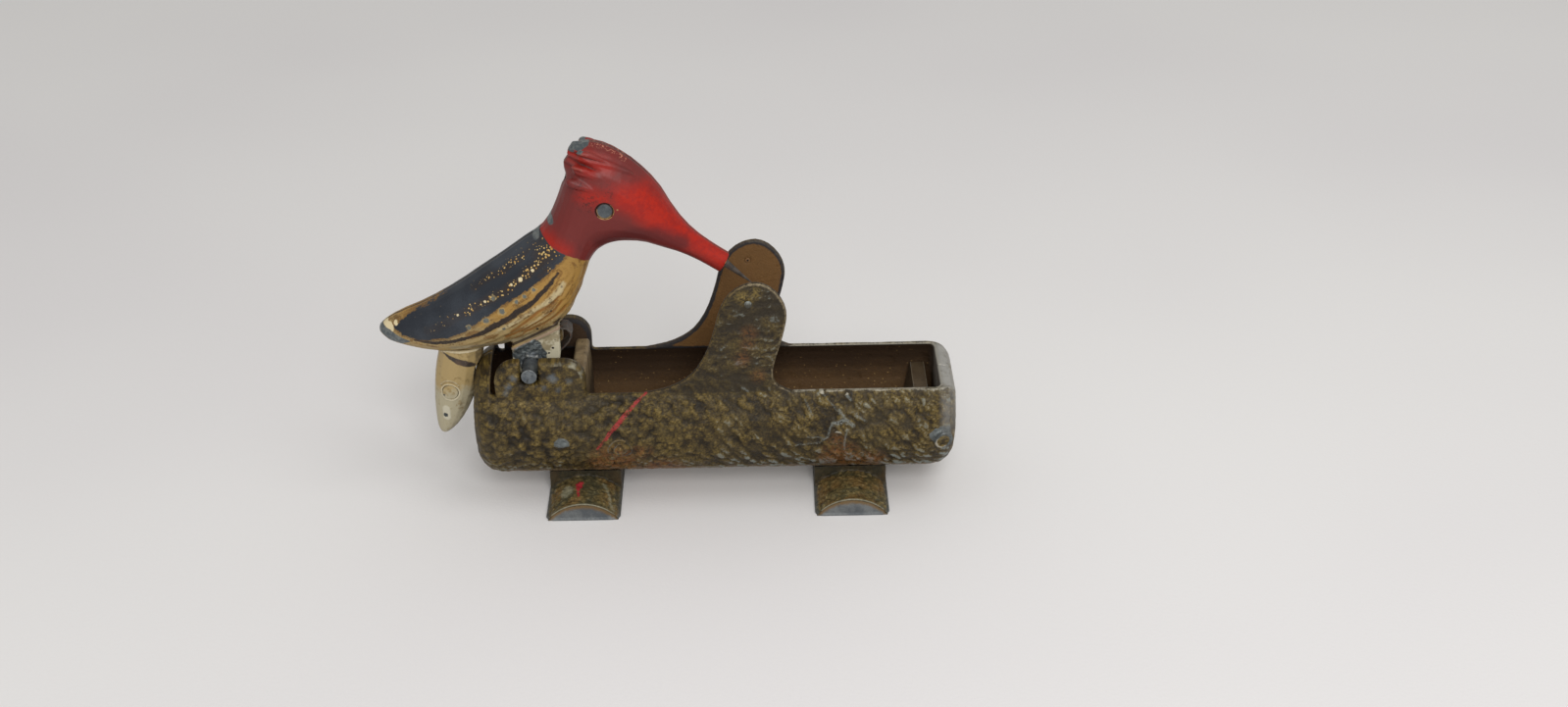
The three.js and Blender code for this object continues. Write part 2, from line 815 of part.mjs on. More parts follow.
function needle() {
  const root = needleRoot();
  const inner = root.clone().addScaledVector(needleWay, -needleShank);
  const tip = root.clone().addScaledVector(needleWay, needleLength);
  return bar(inner, root, needleRadius, needleRadius, 16).add(bar(root, tip, needleRadius, needleTip, 16));
}

// Centre and upward direction of a spot along the spring's middle line.
function springLine() {
  const height = (share) => axleZ + share * (share > 0 ? springRise : springDrop);
  const spot = ([along, up]) => new THREE.Vector3(axleX + along * springReach, 0, height(up));
  return new THREE.CatmullRomCurve3(springShares.map(spot));
}

function springRivetWay() {
  const line = springLine();
  const centre = line.getPointAt(springRivetShare);
  const along = line.getTangentAt(springRivetShare);
  return { centre, out: new THREE.Vector3(-along.z, 0, along.x) };
}

function springStrip() {
  const line = springLine();
  const steps = 44;
  const rings = [];
  for (let k = 0; k <= steps; k++) {
    const centre = line.getPointAt(k / steps);
    const along = line.getTangentAt(k / steps);
    const out = new THREE.Vector3(-along.z, 0, along.x);
    const corners = [
      [1, 1],
      [1, -1],
      [-1, -1],
      [-1, 1],
    ];
    rings.push(
      corners.map(([thick, wide]) => {
        const point = centre.clone().addScaledVector(out, (thick * springThickness) / 2);
        point.y = (wide * springWidth) / 2;
        return point;
      }),
    );
  }
  const { centre, out } = springRivetWay();
  const hole = bar(
    centre.clone().addScaledVector(out, -overrun),
    centre.clone().addScaledVector(out, overrun),
    springRivetRadius + fitPlay,
    springRivetRadius + fitPlay,
    14,
  );
  return loft(rings).subtract(hole);
}

function springRivet(play = 0) {
  const { centre, out } = springRivetWay();
  const under = centre.clone().addScaledVector(out, -springThickness / 2 - fitPlay);
  const low = under.clone().addScaledVector(out, -springRivetHeadRise);
  const high = under.clone().addScaledVector(out, springRivetLength + play);
  return bar(low, high, springRivetRadius + play, springRivetRadius + play, 14).add(
    bar(low, under, springRivetHead + play, springRivetHead + play, 18),
  );
}

function collar(side) {
  const start = side * (legOuter + fitPlay);
  const end = start + side * collarLength;
  const ring = bar(
    new THREE.Vector3(axleX, start, axleZ),
    new THREE.Vector3(axleX, end, axleZ),
    collarRadius,
    (collarRadius + axleRadius) / 2,
    24,
  );
  return ring.subtract(axleHole(side * legInner, end + side * overrun));
}

function axleHole(y0, y1) {
  return bar(
    new THREE.Vector3(axleX, y0, axleZ),
    new THREE.Vector3(axleX, y1, axleZ),
    axleRadius + fitPlay,
    axleRadius + fitPlay,
    24,
  );
}

function axle() {
  return bar(
    new THREE.Vector3(axleX, -earOuterY, axleZ),
    new THREE.Vector3(axleX, earOuterY, axleZ),
    axleRadius,
    axleRadius,
    24,
  );
}

// Half width of the head where the eye sits.
function eyeHalfWidth() {
  let best = { gap: Infinity, halfWidth: 0 };
  for (const { middle, up, halfHeight, halfWidth } of birdSections(0, 0, lastBirdRow, 88)) {
    const offset = new THREE.Vector3(eyeX, 0, eyeZ).sub(middle);
    const across = offset.clone().addScaledVector(up, -offset.dot(up)).length();
    const along = Math.abs(offset.dot(up)) / halfHeight;
    if (along < 1 && across < best.gap) {
      best = { gap: across, halfWidth: halfWidth * Math.sqrt(1 - along ** 2) };
    }
  }
  return best.halfWidth;
}

function eyePin() {
  const reach = eyeHalfWidth() - eyeRecess;
  return bar(new THREE.Vector3(eyeX, -reach, eyeZ), new THREE.Vector3(eyeX, reach, eyeZ), eyeRadius);
}

function birdHalf(side) {
  const skin = birdForm(0, 0, lastBirdRow, 40, 22);
  const cavity = birdForm(-shellWall, hollowFirstRow, hollowLastRow, 18, 12);
  let form = crestShares.reduce((made, share) => made.add(crestRidgeOn(side, share)), skin);
  form = form.add(leg(side)).subtract(cavity.subtract(leg(side)));
  form = form.subtract(axleHole(side * (legInner - overrun), side * (legOuter + overrun)));
  form = form.subtract(springRivet(fitPlay));
  const eyeFar = side * (birdWidth / 2);
  form = form.subtract(
    bar(
      new THREE.Vector3(eyeX, 0, eyeZ),
      new THREE.Vector3(eyeX, eyeFar, eyeZ),
      eyeRadius + fitPlay,
    ),
  );
  const root = needleRoot();
  form = form.subtract(
    bar(
      root.clone().addScaledVector(needleWay, -needleShank - fitPlay),
      root.clone().addScaledVector(needleWay, needleLength),
      needleRadius + fitPlay,
      needleRadius + fitPlay,
      16,
    ),
  );
  return halfOf(form, side);
}

const tailPlugCentre = () => new THREE.Vector3(axleX - tailPlugBack, 0, axleZ - tailPlugDrop);

const tailPlugFace = () => -tailThickness * tailPlugFaceShare;

function tailWeight() {
  const curve = (pick) => new THREE.CatmullRomCurve3(tailShares.map(pick));
  const left = axleX - tailBack;
  const top = axleZ - tailDrop + tailLength;
  const rear = curve((row) => new THREE.Vector3(left + row[1] * tailDepth, 0, top - row[0] * tailLength));
  const front = curve((row) => new THREE.Vector3(left + row[2] * tailDepth, 0, top - row[0] * tailLength));
  const thick = curve((row) => new THREE.Vector3(0, row[3] * tailThickness, 0));
  const steps = 14;
  const sides = 16;
  const rings = [];
  for (let k = 0; k <= steps; k++) {
    const a = rear.getPoint(k / steps);
    const b = front.getPoint(k / steps);
    const half = thick.getPoint(k / steps).y;
    const middle = a.clone().add(b).multiplyScalar(0.5);
    const ring = [];
    for (let i = 0; i < sides; i++) {
      const angle = (i / sides) * 2 * Math.PI;
      const point = middle.clone().addScaledVector(b.clone().sub(a), Math.cos(angle) / 2);
      point.y = Math.sin(angle) * half;
      ring.push(point);
    }
    rings.push(ring);
  }
  const hole = tailPlugCentre();
  const bottom = hole.clone().setY(tailPlugFace() + tailPlugDepth + fitPlay);
  const past = hole.clone().setY(-tailThickness);
  return loft(rings)
    .subtract(birdForm(seatGap, 0, lastBirdRow, 40, 22))
    .subtract(logForm(seatGap, 40, 2, false))
    .subtract(bar(bottom, past, tailPlugRadius + fitPlay));
}

function tailPlug() {
  const centre = tailPlugCentre();
  const face = tailPlugFace();
  return bar(centre.clone().setY(face + tailPlugDepth), centre.clone().setY(face), tailPlugRadius);
}

// Paints and metals.
const bark = { color: 0x5c5030, roughness: 0.55, metalness: 0.35 };
const greyMetal = { color: 0x7d8284, roughness: 0.45, metalness: 0.85 };
const tan = { color: 0x8f785a, roughness: 0.6, metalness: 0.1 };
const cream = { color: 0xc6bc96, roughness: 0.5, metalness: 0 };
const blueBlack = { color: 0x2e3238, roughness: 0.4, metalness: 0.1 };
const darkSteel = { color: 0x55504b, roughness: 0.35, metalness: 0.9 };
const springSteel = { color: 0x4a4c50, roughness: 0.35, metalness: 0.95 };

const part = new THREE.Group();
const base = new THREE.Group();
const bird = new THREE.Group();
part.add(base, bird);

function place(group, name, shape, finish) {
  const mesh = new THREE.Mesh(geometryOf(shape), new THREE.MeshStandardMaterial(finish));
  mesh.name = name;
  group.add(mesh);
}

place(base, "log_front_half", logHalf(-1), bark);
place(base, "log_rear_half", logHalf(1), bark);
place(base, "bulkhead", bulkhead(), tan);
place(base, "trough_ramp", ramp(), tan);
place(base, "end_plug", endPlug(), greyMetal);
place(base, "foot_left", foot(leftFootX), bark);
place(base, "foot_right", foot(rightFootX), bark);
for (const spot of footRivetSpots) {
  place(base, `foot_rivet_${spot.name}`, footRivet(spot), greyMetal);
}
place(base, "post_rivet_front", postRivet(-1), greyMetal);
place(base, "post_rivet_rear", postRivet(1), greyMetal);

place(bird, "bird_near_half", birdHalf(-1), blueBlack);
place(bird, "bird_far_half", birdHalf(1), blueBlack);
place(bird, "tail_weight", tailWeight(), cream);
place(bird, "tail_plug", tailPlug(), cream);
place(bird, "eye_pin", eyePin(), greyMetal);
place(bird, "needle", needle(), darkSteel);
place(bird, "axle", axle(), greyMetal);
place(bird, "axle_collar_near", collar(-1), greyMetal);
place(bird, "axle_collar_far", collar(1), greyMetal);
place(bird, "return_spring", springStrip(), springSteel);
place(bird, "spring_rivet", springRivet(), greyMetal);

// The origin lies on the ground, under the middle of the whole part.
part.updateMatrixWorld(true);
const bounds = new THREE.Box3().setFromObject(part, true);
const centre = bounds.getCenter(new THREE.Vector3());
part.position.set(-centre.x, -centre.y, -bounds.min.z);

export default part;
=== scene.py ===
import math

import bmesh
import bpy
import numpy as np
from mathutils import Matrix, Vector, noise


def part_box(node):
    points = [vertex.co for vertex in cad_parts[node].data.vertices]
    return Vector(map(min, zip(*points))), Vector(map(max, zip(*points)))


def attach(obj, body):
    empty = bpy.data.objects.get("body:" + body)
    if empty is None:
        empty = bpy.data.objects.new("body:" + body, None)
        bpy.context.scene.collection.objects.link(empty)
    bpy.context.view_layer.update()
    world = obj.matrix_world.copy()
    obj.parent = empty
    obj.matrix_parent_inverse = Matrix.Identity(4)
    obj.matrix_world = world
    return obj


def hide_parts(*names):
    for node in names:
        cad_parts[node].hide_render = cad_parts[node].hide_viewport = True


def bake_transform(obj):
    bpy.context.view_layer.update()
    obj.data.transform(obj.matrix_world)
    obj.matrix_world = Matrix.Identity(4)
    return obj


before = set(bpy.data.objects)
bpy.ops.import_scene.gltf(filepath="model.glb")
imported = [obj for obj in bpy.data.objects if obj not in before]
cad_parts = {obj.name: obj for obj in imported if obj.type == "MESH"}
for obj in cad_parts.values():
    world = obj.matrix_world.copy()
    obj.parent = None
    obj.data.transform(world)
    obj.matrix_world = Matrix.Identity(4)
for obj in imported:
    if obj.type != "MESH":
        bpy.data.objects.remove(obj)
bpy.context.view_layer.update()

mm = 0.001


# Table and room. The piece stands on a pale cloth-white table top, under a wide soft light from
# above and the right, with a weaker one from the front. The camera stands where the photograph's
# did, about half a metre away and 28 degrees above the table.

camera_place = Vector((22.07, -464.78, 283.90)) * mm
camera_yaw = math.radians(0.709)
camera_pitch = math.radians(28.2)
camera_roll = math.radians(-0.689)
camera_focal_pixels = 2200
photo_width_pixels = 1599
sensor_width = 36

table_size = 6
table_color = (0.84, 0.825, 0.815, 1)
table_cloud_color = (0.8, 0.78, 0.78, 1)
room_color = (1.0, 0.99, 0.97, 1)
room_strength = 0.5
top_light_place = Vector((350, -220, 730)) * mm
top_light_size = 0.52
top_light_power = 1.15
front_light_place = Vector((110, -740, 570)) * mm
front_light_size = 0.45
front_light_power = 3.9

scene = bpy.context.scene
ahead = Vector(
    (
        math.sin(camera_yaw) * math.cos(camera_pitch),
        math.cos(camera_yaw) * math.cos(camera_pitch),
        -math.sin(camera_pitch),
    )
)
level = Vector((math.cos(camera_yaw), -math.sin(camera_yaw), 0))
upright = level.cross(ahead)
camera_right = math.cos(camera_roll) * level + math.sin(camera_roll) * upright
camera_up = math.cos(camera_roll) * upright - math.sin(camera_roll) * level
camera = bpy.data.objects.new("camera", bpy.data.cameras.new("camera"))
camera.data.sensor_width = sensor_width
camera.data.lens = camera_focal_pixels * sensor_width / photo_width_pixels
camera.data.clip_start = 0.01
turn = Matrix((camera_right, camera_up, -ahead)).transposed().to_4x4()
camera.matrix_world = Matrix.Translation(camera_place) @ turn
scene.collection.objects.link(camera)
scene.camera = camera


def area_light(name, place, size, power):
    light = bpy.data.lights.new(name, "AREA")
    light.shape = "DISK"
    light.size = size
    light.energy = power
    lamp = bpy.data.objects.new(name, light)
    lamp.location = place
    lamp.rotation_euler = (-place).to_track_quat("-Z", "Y").to_euler()
    scene.collection.objects.link(lamp)


area_light("top_light", top_light_place, top_light_size, top_light_power)
area_light("front_light", front_light_place, front_light_size, front_light_power)
room = bpy.data.worlds.new("room")
room.use_nodes = True
room.node_tree.nodes["Background"].inputs["Color"].default_value = room_color
room.node_tree.nodes["Background"].inputs["Strength"].default_value = room_strength
scene.world = room
scene.view_settings.view_transform = "Standard"


class Wire:
    """One value that varies over a surface. Arithmetic on it adds Math nodes to its tree."""

    def __init__(self, board, node, output):
        self.board = board
        self.node = node
        self.socket = node.outputs[output]

    def other(self, output):
        """Another output of the same node."""
        return Wire(self.board, self.node, output)

    def math(self, operation, other=0.0):
        return self.board.math(operation, self, other)

    def __add__(self, other):
        return self.math("ADD", other)

    def __sub__(self, other):
        return self.math("SUBTRACT", other)

    def __rsub__(self, other):
        return self.board.math("SUBTRACT", other, self)

    def __mul__(self, other):
        return self.math("MULTIPLY", other)

    def __rtruediv__(self, other):
        return self.board.math("DIVIDE", other, self)

    __radd__ = __add__
    __rmul__ = __mul__

    def most(self, other):
        return self.math("MAXIMUM", other)

    def least(self, other):
        return self.math("MINIMUM", other)

    def coat(self, color, share):
        """This color with another laid over it, by share."""
        return self.board.mix(self, color, share)

    def between(self, low, high):
        """0 at low, 1 at high, and a smooth step between them. low may be the higher one."""
        settings = {"interpolation_type": "SMOOTHSTEP"}
        limits = {"Value": self, "From Min": low, "From Max": high}
        return self.board.add("ShaderNodeMapRange", settings, limits)


class Board:
    """A node tree, and the one way that nodes are put on it."""

    def __init__(self, tree):
        self.tree = tree

    def feed(self, socket, value):
        if isinstance(value, Wire):
            self.tree.links.new(value.socket, socket)
        else:
            socket.default_value = value

    def add(self, kind, settings=None, inputs=None, output=0):
        node = self.tree.nodes.new(kind)
        for name, value in (settings or {}).items():
            setattr(node, name, value)
        for key, value in (inputs or {}).items():
            self.feed(node.inputs[key], value)
        return Wire(self, node, output)

    def math(self, operation, first, second=0.0):
        return self.add("ShaderNodeMath", {"operation": operation}, {0: first, 1: second})

    def __getitem__(self, name):
        """The number that is stored under that name for each point of the piece."""
        return self.add("ShaderNodeAttribute", {"attribute_name": name}, {}, "Fac")

    def vector(self, name):
        return self.add("ShaderNodeAttribute", {"attribute_name": name}, {}, "Vector")

    def own_place(self):
        """The place on the piece, in millimetres."""
        place = self.add("ShaderNodeTexCoord", {}, {}, "Object")
        return self.scaled(place, (1000.0, 1000.0, 1000.0))

    def scaled(self, place, scale):
        return self.add("ShaderNodeVectorMath", {"operation": "MULTIPLY"}, {0: place, 1: scale})

    def shifted(self, place, shift):
        return self.add("ShaderNodeVectorMath", {"operation": "ADD"}, {0: place, 1: shift})

    def turned(self, place, angle):
        """The place turned about its third axis, so that a pattern can run on a slant."""
        settings = {"rotation_type": "Z_AXIS"}
        return self.add("ShaderNodeVectorRotate", settings, {"Vector": place, "Angle": angle})

    def noise(self, place, size, detail=3.0, roughness=0.5):
        """Cloudy noise from 0 to 1, with clouds of the size given."""
        inputs = {"Vector": place, "Scale": 1 / size, "Detail": detail, "Roughness": roughness}
        return self.add("ShaderNodeTexNoise", {}, inputs, 0)

    def cells(self, place, size, feature="F1"):
        """Distance from the middle of a cell, or from its edge, with cells of the size given."""
        inputs = {"Vector": place, "Scale": 1 / size}
        return self.add("ShaderNodeTexVoronoi", {"feature": feature}, inputs, "Distance")

    def ramp(self, value, *stops):
        """A color for a value. Each stop is a value and its color."""
        color = self.add("ShaderNodeValToRGB", {}, {"Fac": value})
        elements = color.node.color_ramp.elements
        while len(elements) < len(stops):
            elements.new(1.0)
        for element, (stop, stop_color) in zip(elements, stops):
            element.position = stop
            element.color = stop_color
        return color

    def mix(self, under, color, share):
        settings = {"data_type": "RGBA", "clamp_factor": True}
        return self.add("ShaderNodeMix", settings, {0: share, 6: under, 7: color}, 2)

    def bump(self, height, depth, strength):
        inputs = {"Height": height, "Distance": depth * mm, "Strength": strength}
        return self.add("ShaderNodeBump", {}, inputs)


def ragged(*parts):
    """The sum of some noises about 0, each followed by its reach. It makes a border ragged."""
    swings = [(cloud - 0.5) * reach for cloud, reach in zip(parts[::2], parts[1::2])]
    return sum(swings[1:], swings[0])


def shade(*color):
    """A color as it looks on a screen from 0 to 255, in the linear values that a shader wants."""
    return (*[((c / 255 + 0.055) / 1.055) ** 2.4 if c > 10 else c / 3294 for c in color], 1)


def finish(name, paint, **constants):
    """A material. paint takes a board and returns its color, roughness, metal and normal."""
    material = bpy.data.materials.new(name)
    material.use_nodes = True
    board = Board(material.node_tree)
    sockets = material.node_tree.nodes["Principled BSDF"].inputs
    for socket, value in constants.items():
        sockets[socket.replace("_", " ")].default_value = value
    for socket, value in zip(("Base Color", "Roughness", "Metallic", "Normal"), paint(board)):
        board.feed(sockets[socket], value)
    return material


def paint_table(board):
    place = board.own_place()
    cloud = board.noise(place, 260.0, 2.0)
    weave = board.noise(place, 0.9, 2.0)
    color = board.mix(table_color, table_cloud_color, cloud.between(0.35, 0.7))
    return color, 0.9, 0.0, board.bump(weave, 0.1, 0.4)


half = table_size / 2
table_mesh = bpy.data.meshes.new("table")
table_corners = [(-half, -half, 0), (half, -half, 0), (half, half, 0), (-half, half, 0)]
table_mesh.from_pydata(table_corners, [], [(0, 1, 2, 3)])
table_mesh.materials.append(finish("table", paint_table))
table = bpy.data.objects.new("table", table_mesh)
scene.collection.objects.link(table)


# Log. Two thin white-metal castings, a front and a rear half, that meet in a seam under the log.
# Crinkled bark is cast into them, painted brown and gold, and worn to grey metal on the ridges.
# Each half carries an ear for the axle and a curved post, smooth inside and wrinkled outside.

log_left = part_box("log_front_half")[0].x / mm
log_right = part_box("log_front_half")[1].x / mm
log_radius = 16
log_axis_z = 21.2
rim_half_width = 12.65
rim_z = log_axis_z + math.sqrt(log_radius**2 - rim_half_width**2)
rim_angle = math.asin((rim_z - log_axis_z) / log_radius)
ear_ends = (log_left + 6, log_left + 27.8)
post_ends = (log_left + 41, log_left + 77)
post_pin_low, post_pin_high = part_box("post_rivet_rear")
post_pin = (post_pin_low + post_pin_high) / 2 / mm
log_voxel = 0.375
bark_depth = 1.5
bark_pitch = 1.85
# Where the bark's relief has this level, the surface stays where it is.
relief_level = 0.66
ridges_from_x = 4

# The castings' edges stand this far from the middle. They are drawn up to half_seam_gap from it,
# and what lies further out than seam_reach stays.
seam_gap = 0.15
half_seam_gap = 0.01
seam_reach = 0.9

# Knots on the front: place along the log, height, radius.
bare_knot = (-26.2, 19.2, 1.9)
round_knot = (-12.3, 17.5, 3.0)
stub_middle = (65.6, 18.6)
stub_radius = 2.4
bare_knot_rise = 0.35
round_knot_rise = 0.24

# Raised ridges of bark, worn pale, round a rusty hollow.
bark_ridges = [
    [(38.7, 23.1), (37.9, 19.8), (36.6, 19.1)],
    [(32.8, 20.3), (37.2, 19.8)],
    [(30.2, 17.7), (33.2, 18.2), (36.0, 18.4)],
    [(42.6, 22.1), (42.0, 19.0), (42.0, 16.1)],
    [(36.5, 30.7), (37.8, 29.5), (39.4, 27.8), (40.8, 25.9)],
    [(40.8, 26.9), (41.9, 25.4)],
    [(45.3, 25.4), (47.2, 24.1)],
    [(42.7, 29.9), (43.6, 29.0)],
    [(32.6, 29.2), (34.3, 25.8)],
    [(39.1, 23.6), (41.0, 23.9), (41.9, 24.8), (44.1, 23.1)],
]
bark_ridge_half_widths = [0.25, 0.15, 0.15, 0.2, 0.1, 0.3, 0.2, 0.3, 0.15, 0.5]
bark_ridge_rise = 0.3
rusty_hollow = (40.2, 19.8, 1.6)
rusty_hollow_depth = 0.4

# A red scratch across the front, in the side view.
scratch = [(-5.3, 31.3), (-7.7, 29.6), (-10.8, 26.4), (-14.0, 22.7), (-17.8, 17.3)]
scratch_half_widths = (0.15, 0.4, 0.55, 0.6, 0.25)
# Rust: place along the log, height, reach.
rust_spots = [
    (-14, 12, 7), (-7, 16, 3), (-12.3, 17.5, 1.6), (-2, 7, 7), (40.2, 18.5, 2.8), (41, 13, 6),
    (48, 11, 5), (19.5, 47, 2.2), (19, 44, 2), (17.6, 40, 2.2), (21.5, 35.6, 2),
]
# Gold left on the front post's tip: place along the log, height, reach.
gold_spots = [(18, 56.6, 1.6), (21, 57.6, 1.5), (19.4, 55.6, 1.3)]
# Dull blue spots on the front ear: place along the log, height, radius.
ear_spots = [
    (-37, 36.2, 0.9), (-27.7, 36.0, 1.1), (-38.3, 33.9, 0.7), (-39.0, 32.2, 0.6),
    (-29.8, 33.4, 0.6), (-23.8, 35.3, 0.6), (-26.4, 33.0, 0.5),
]
# Pale glints on the front ear's worn top edge.
ear_glints = [(-28.3, 38.6, 1.0), (-26.2, 38.6, 1.2), (-22.9, 39.0, 1.2), (-21.4, 37.0, 1.0)]
# How far a painted mark is said to be, in millimetres, where it may not show.
far_off = 9.0


def recast(name, node, voxel, easing):
    """A fine skin over a CAD solid, its edges eased as a casting's are. Sizes in millimetres."""
    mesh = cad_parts[node].data.copy()
    shape = bmesh.new()
    shape.from_mesh(mesh)
    bmesh.ops.remove_doubles(shape, verts=shape.verts, dist=1e-7)
    shape.to_mesh(mesh)
    shape.free()
    mesh.materials.clear()
    draft = bpy.data.objects.new(name + "_draft", mesh)
    scene.collection.objects.link(draft)
    skin = draft.modifiers.new("skin", "REMESH")
    skin.mode = "VOXEL"
    skin.voxel_size = voxel * mm
    ease = draft.modifiers.new("ease", "SMOOTH")
    ease.factor = 0.5
    ease.iterations = easing
    return settled(draft, name)


def settled(draft, name):
    """A plain mesh object of what the draft's modifiers make. The draft goes."""
    state = bpy.context.evaluated_depsgraph_get()
    mesh = bpy.data.meshes.new_from_object(draft.evaluated_get(state))
    bpy.data.objects.remove(draft)
    mesh.name = name
    mesh.shade_smooth()
    piece = bpy.data.objects.new(name, mesh)
    scene.collection.objects.link(piece)
    return piece


def points_of(piece):
    """Places in millimetres and normals of a piece's points, one row each."""
    rows = []
    for field, target in (("co", piece.data.vertices), ("vector", piece.data.vertex_normals)):
        values = np.zeros(len(piece.data.vertices) * 3, np.float32)
        target.foreach_get(field, values)
        rows.append(values.reshape(-1, 3).astype(float))
    return rows[0] / mm, rows[1]


def fit(piece, body, slot, *nodes):
    """Puts a finished piece in the place of CAD nodes, on the body that they move with."""
    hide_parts(*nodes)
    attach(piece, body)


def put_points(piece, places):
    """Moves a piece's points to the places given, in millimetres."""
    piece.data.vertices.foreach_set("co", (places * mm).astype(np.float32).ravel())
    piece.data.update()


def move_points(piece, normals, rise):
    """Pushes a piece's points out along their normals, by millimetres."""
    put_points(piece, points_of(piece)[0] + normals * rise[:, None])


def close_seam(piece, side):
    """Draws the edge of one of two mirrored halves up to the middle, where it meets the other."""
    places = points_of(piece)[0]
    out = places[:, 1] * side
    stretch = (seam_reach - half_seam_gap) / (seam_reach - seam_gap)
    drawn = half_seam_gap + (out - seam_gap) * stretch
    places[:, 1] = side * np.where(out < seam_reach, drawn, out)
    put_points(piece, places)


def store(piece, **fields):
    """Keeps a number, or a vector, for each point of a piece."""
    for name, values in fields.items():
        kind, field = ("FLOAT", "value") if values.ndim == 1 else ("FLOAT_VECTOR", "vector")
        attribute = piece.data.attributes.new(name, kind, "POINT")
        attribute.data.foreach_set(field, values.astype(np.float32).ravel())


def step(values, low, high):
    """0 at low, 1 at high, and a smooth step between them. low may be the higher one."""
    t = np.clip((values - low) / (high - low), 0, 1)
    return t * t * (3 - 2 * t)


def mound(gap, width):
    """1 within a line, falling off beside it over that width."""
    return np.exp(-((np.clip(gap, 0, None) / width) ** 2))


def only(where, gap):
    """Distances to a mark, that may only show there."""
    return np.where(where, gap, far_off)


def smoothed(piece, rounds):
    """Where each point of a piece would be after some rounds of smoothing, in millimetres."""
    places = points_of(piece)[0]
    ends = np.zeros(len(piece.data.edges) * 2, np.int32)
    piece.data.edges.foreach_get("vertices", ends)
    first, second = ends.reshape(-1, 2).T
    size = len(places)
    count = np.bincount(first, minlength=size) + np.bincount(second, minlength=size) + 1
    around = places.copy()
    for _ in range(rounds):
        for axis in range(3):
            column = around[:, axis]
            near = np.bincount(first, column[second], size)
            near = near + np.bincount(second, column[first], size)
            around[:, axis] = (column + near) / count
    return around


def hollowness(piece, rounds):
    """How far each point lies below its surroundings, in millimetres. Edges are negative."""
    places, normals = points_of(piece)
    return ((smoothed(piece, rounds) - places) * normals).sum(1)


def from_path(x, z, path, half_widths=0.0):
    """How far each point is outside a painted line, in the side view. Inside is negative."""
    path = np.array(path, float)
    widths = np.broadcast_to(np.array(half_widths, float), len(path))
    nearest = np.full(len(x), 1e9)
    for (ax, az), (bx, bz), a_width, b_width in zip(path, path[1:], widths, widths[1:]):
        t = ((x - ax) * (bx - ax) + (z - az) * (bz - az)) / ((bx - ax) ** 2 + (bz - az) ** 2)
        t = np.clip(t, 0, 1)
        gap = np.hypot(x - ax - t * (bx - ax), z - az - t * (bz - az))
        nearest = np.minimum(nearest, gap - a_width - t * (b_width - a_width))
    return nearest


def nearest_path(x, z, paths, half_widths):
    """The same for the nearest of several lines."""
    return np.min([from_path(x, z, *line) for line in zip(paths, half_widths)], axis=0)


def from_spots(x, z, spots):
    """How far each point is outside the nearest round spot, in the side view."""
    return np.min([np.hypot(x - a, z - b) - radius for a, b, radius in spots], axis=0)


def maker_tree(name, sizes):
    """An empty tree that works on a piece, with inputs for its sizes and its finish."""
    tree = bpy.data.node_groups.new(name, "GeometryNodeTree")
    tree.interface.new_socket("Geometry", in_out="OUTPUT", socket_type="NodeSocketGeometry")
    tree.interface.new_socket("Geometry", in_out="INPUT", socket_type="NodeSocketGeometry")
    for size in sizes:
        tree.interface.new_socket(size, in_out="INPUT", socket_type="NodeSocketFloat")
    tree.interface.new_socket("Finish", in_out="INPUT", socket_type="NodeSocketMaterial")
    board = Board(tree)
    return board, board.add("NodeGroupInput", {}, {}, "Geometry")


def named(board, name, kind="FLOAT"):
    """What is stored under that name, for a tree that makes a piece."""
    return board.add("GeometryNodeInputNamedAttribute", {"data_type": kind}, {"Name": name})


def ended(board, given, made):
    """Ends a tree: what it has made is made real and gets its finish."""
    real = board.add("GeometryNodeRealizeInstances", {}, {"Geometry": made})
    done = {"Geometry": real, "Material": given.other("Finish")}
    done = board.add("GeometryNodeSetMaterial", {}, done)
    board.feed(board.tree.nodes.new("NodeGroupOutput").inputs[0], done)
    return board.tree


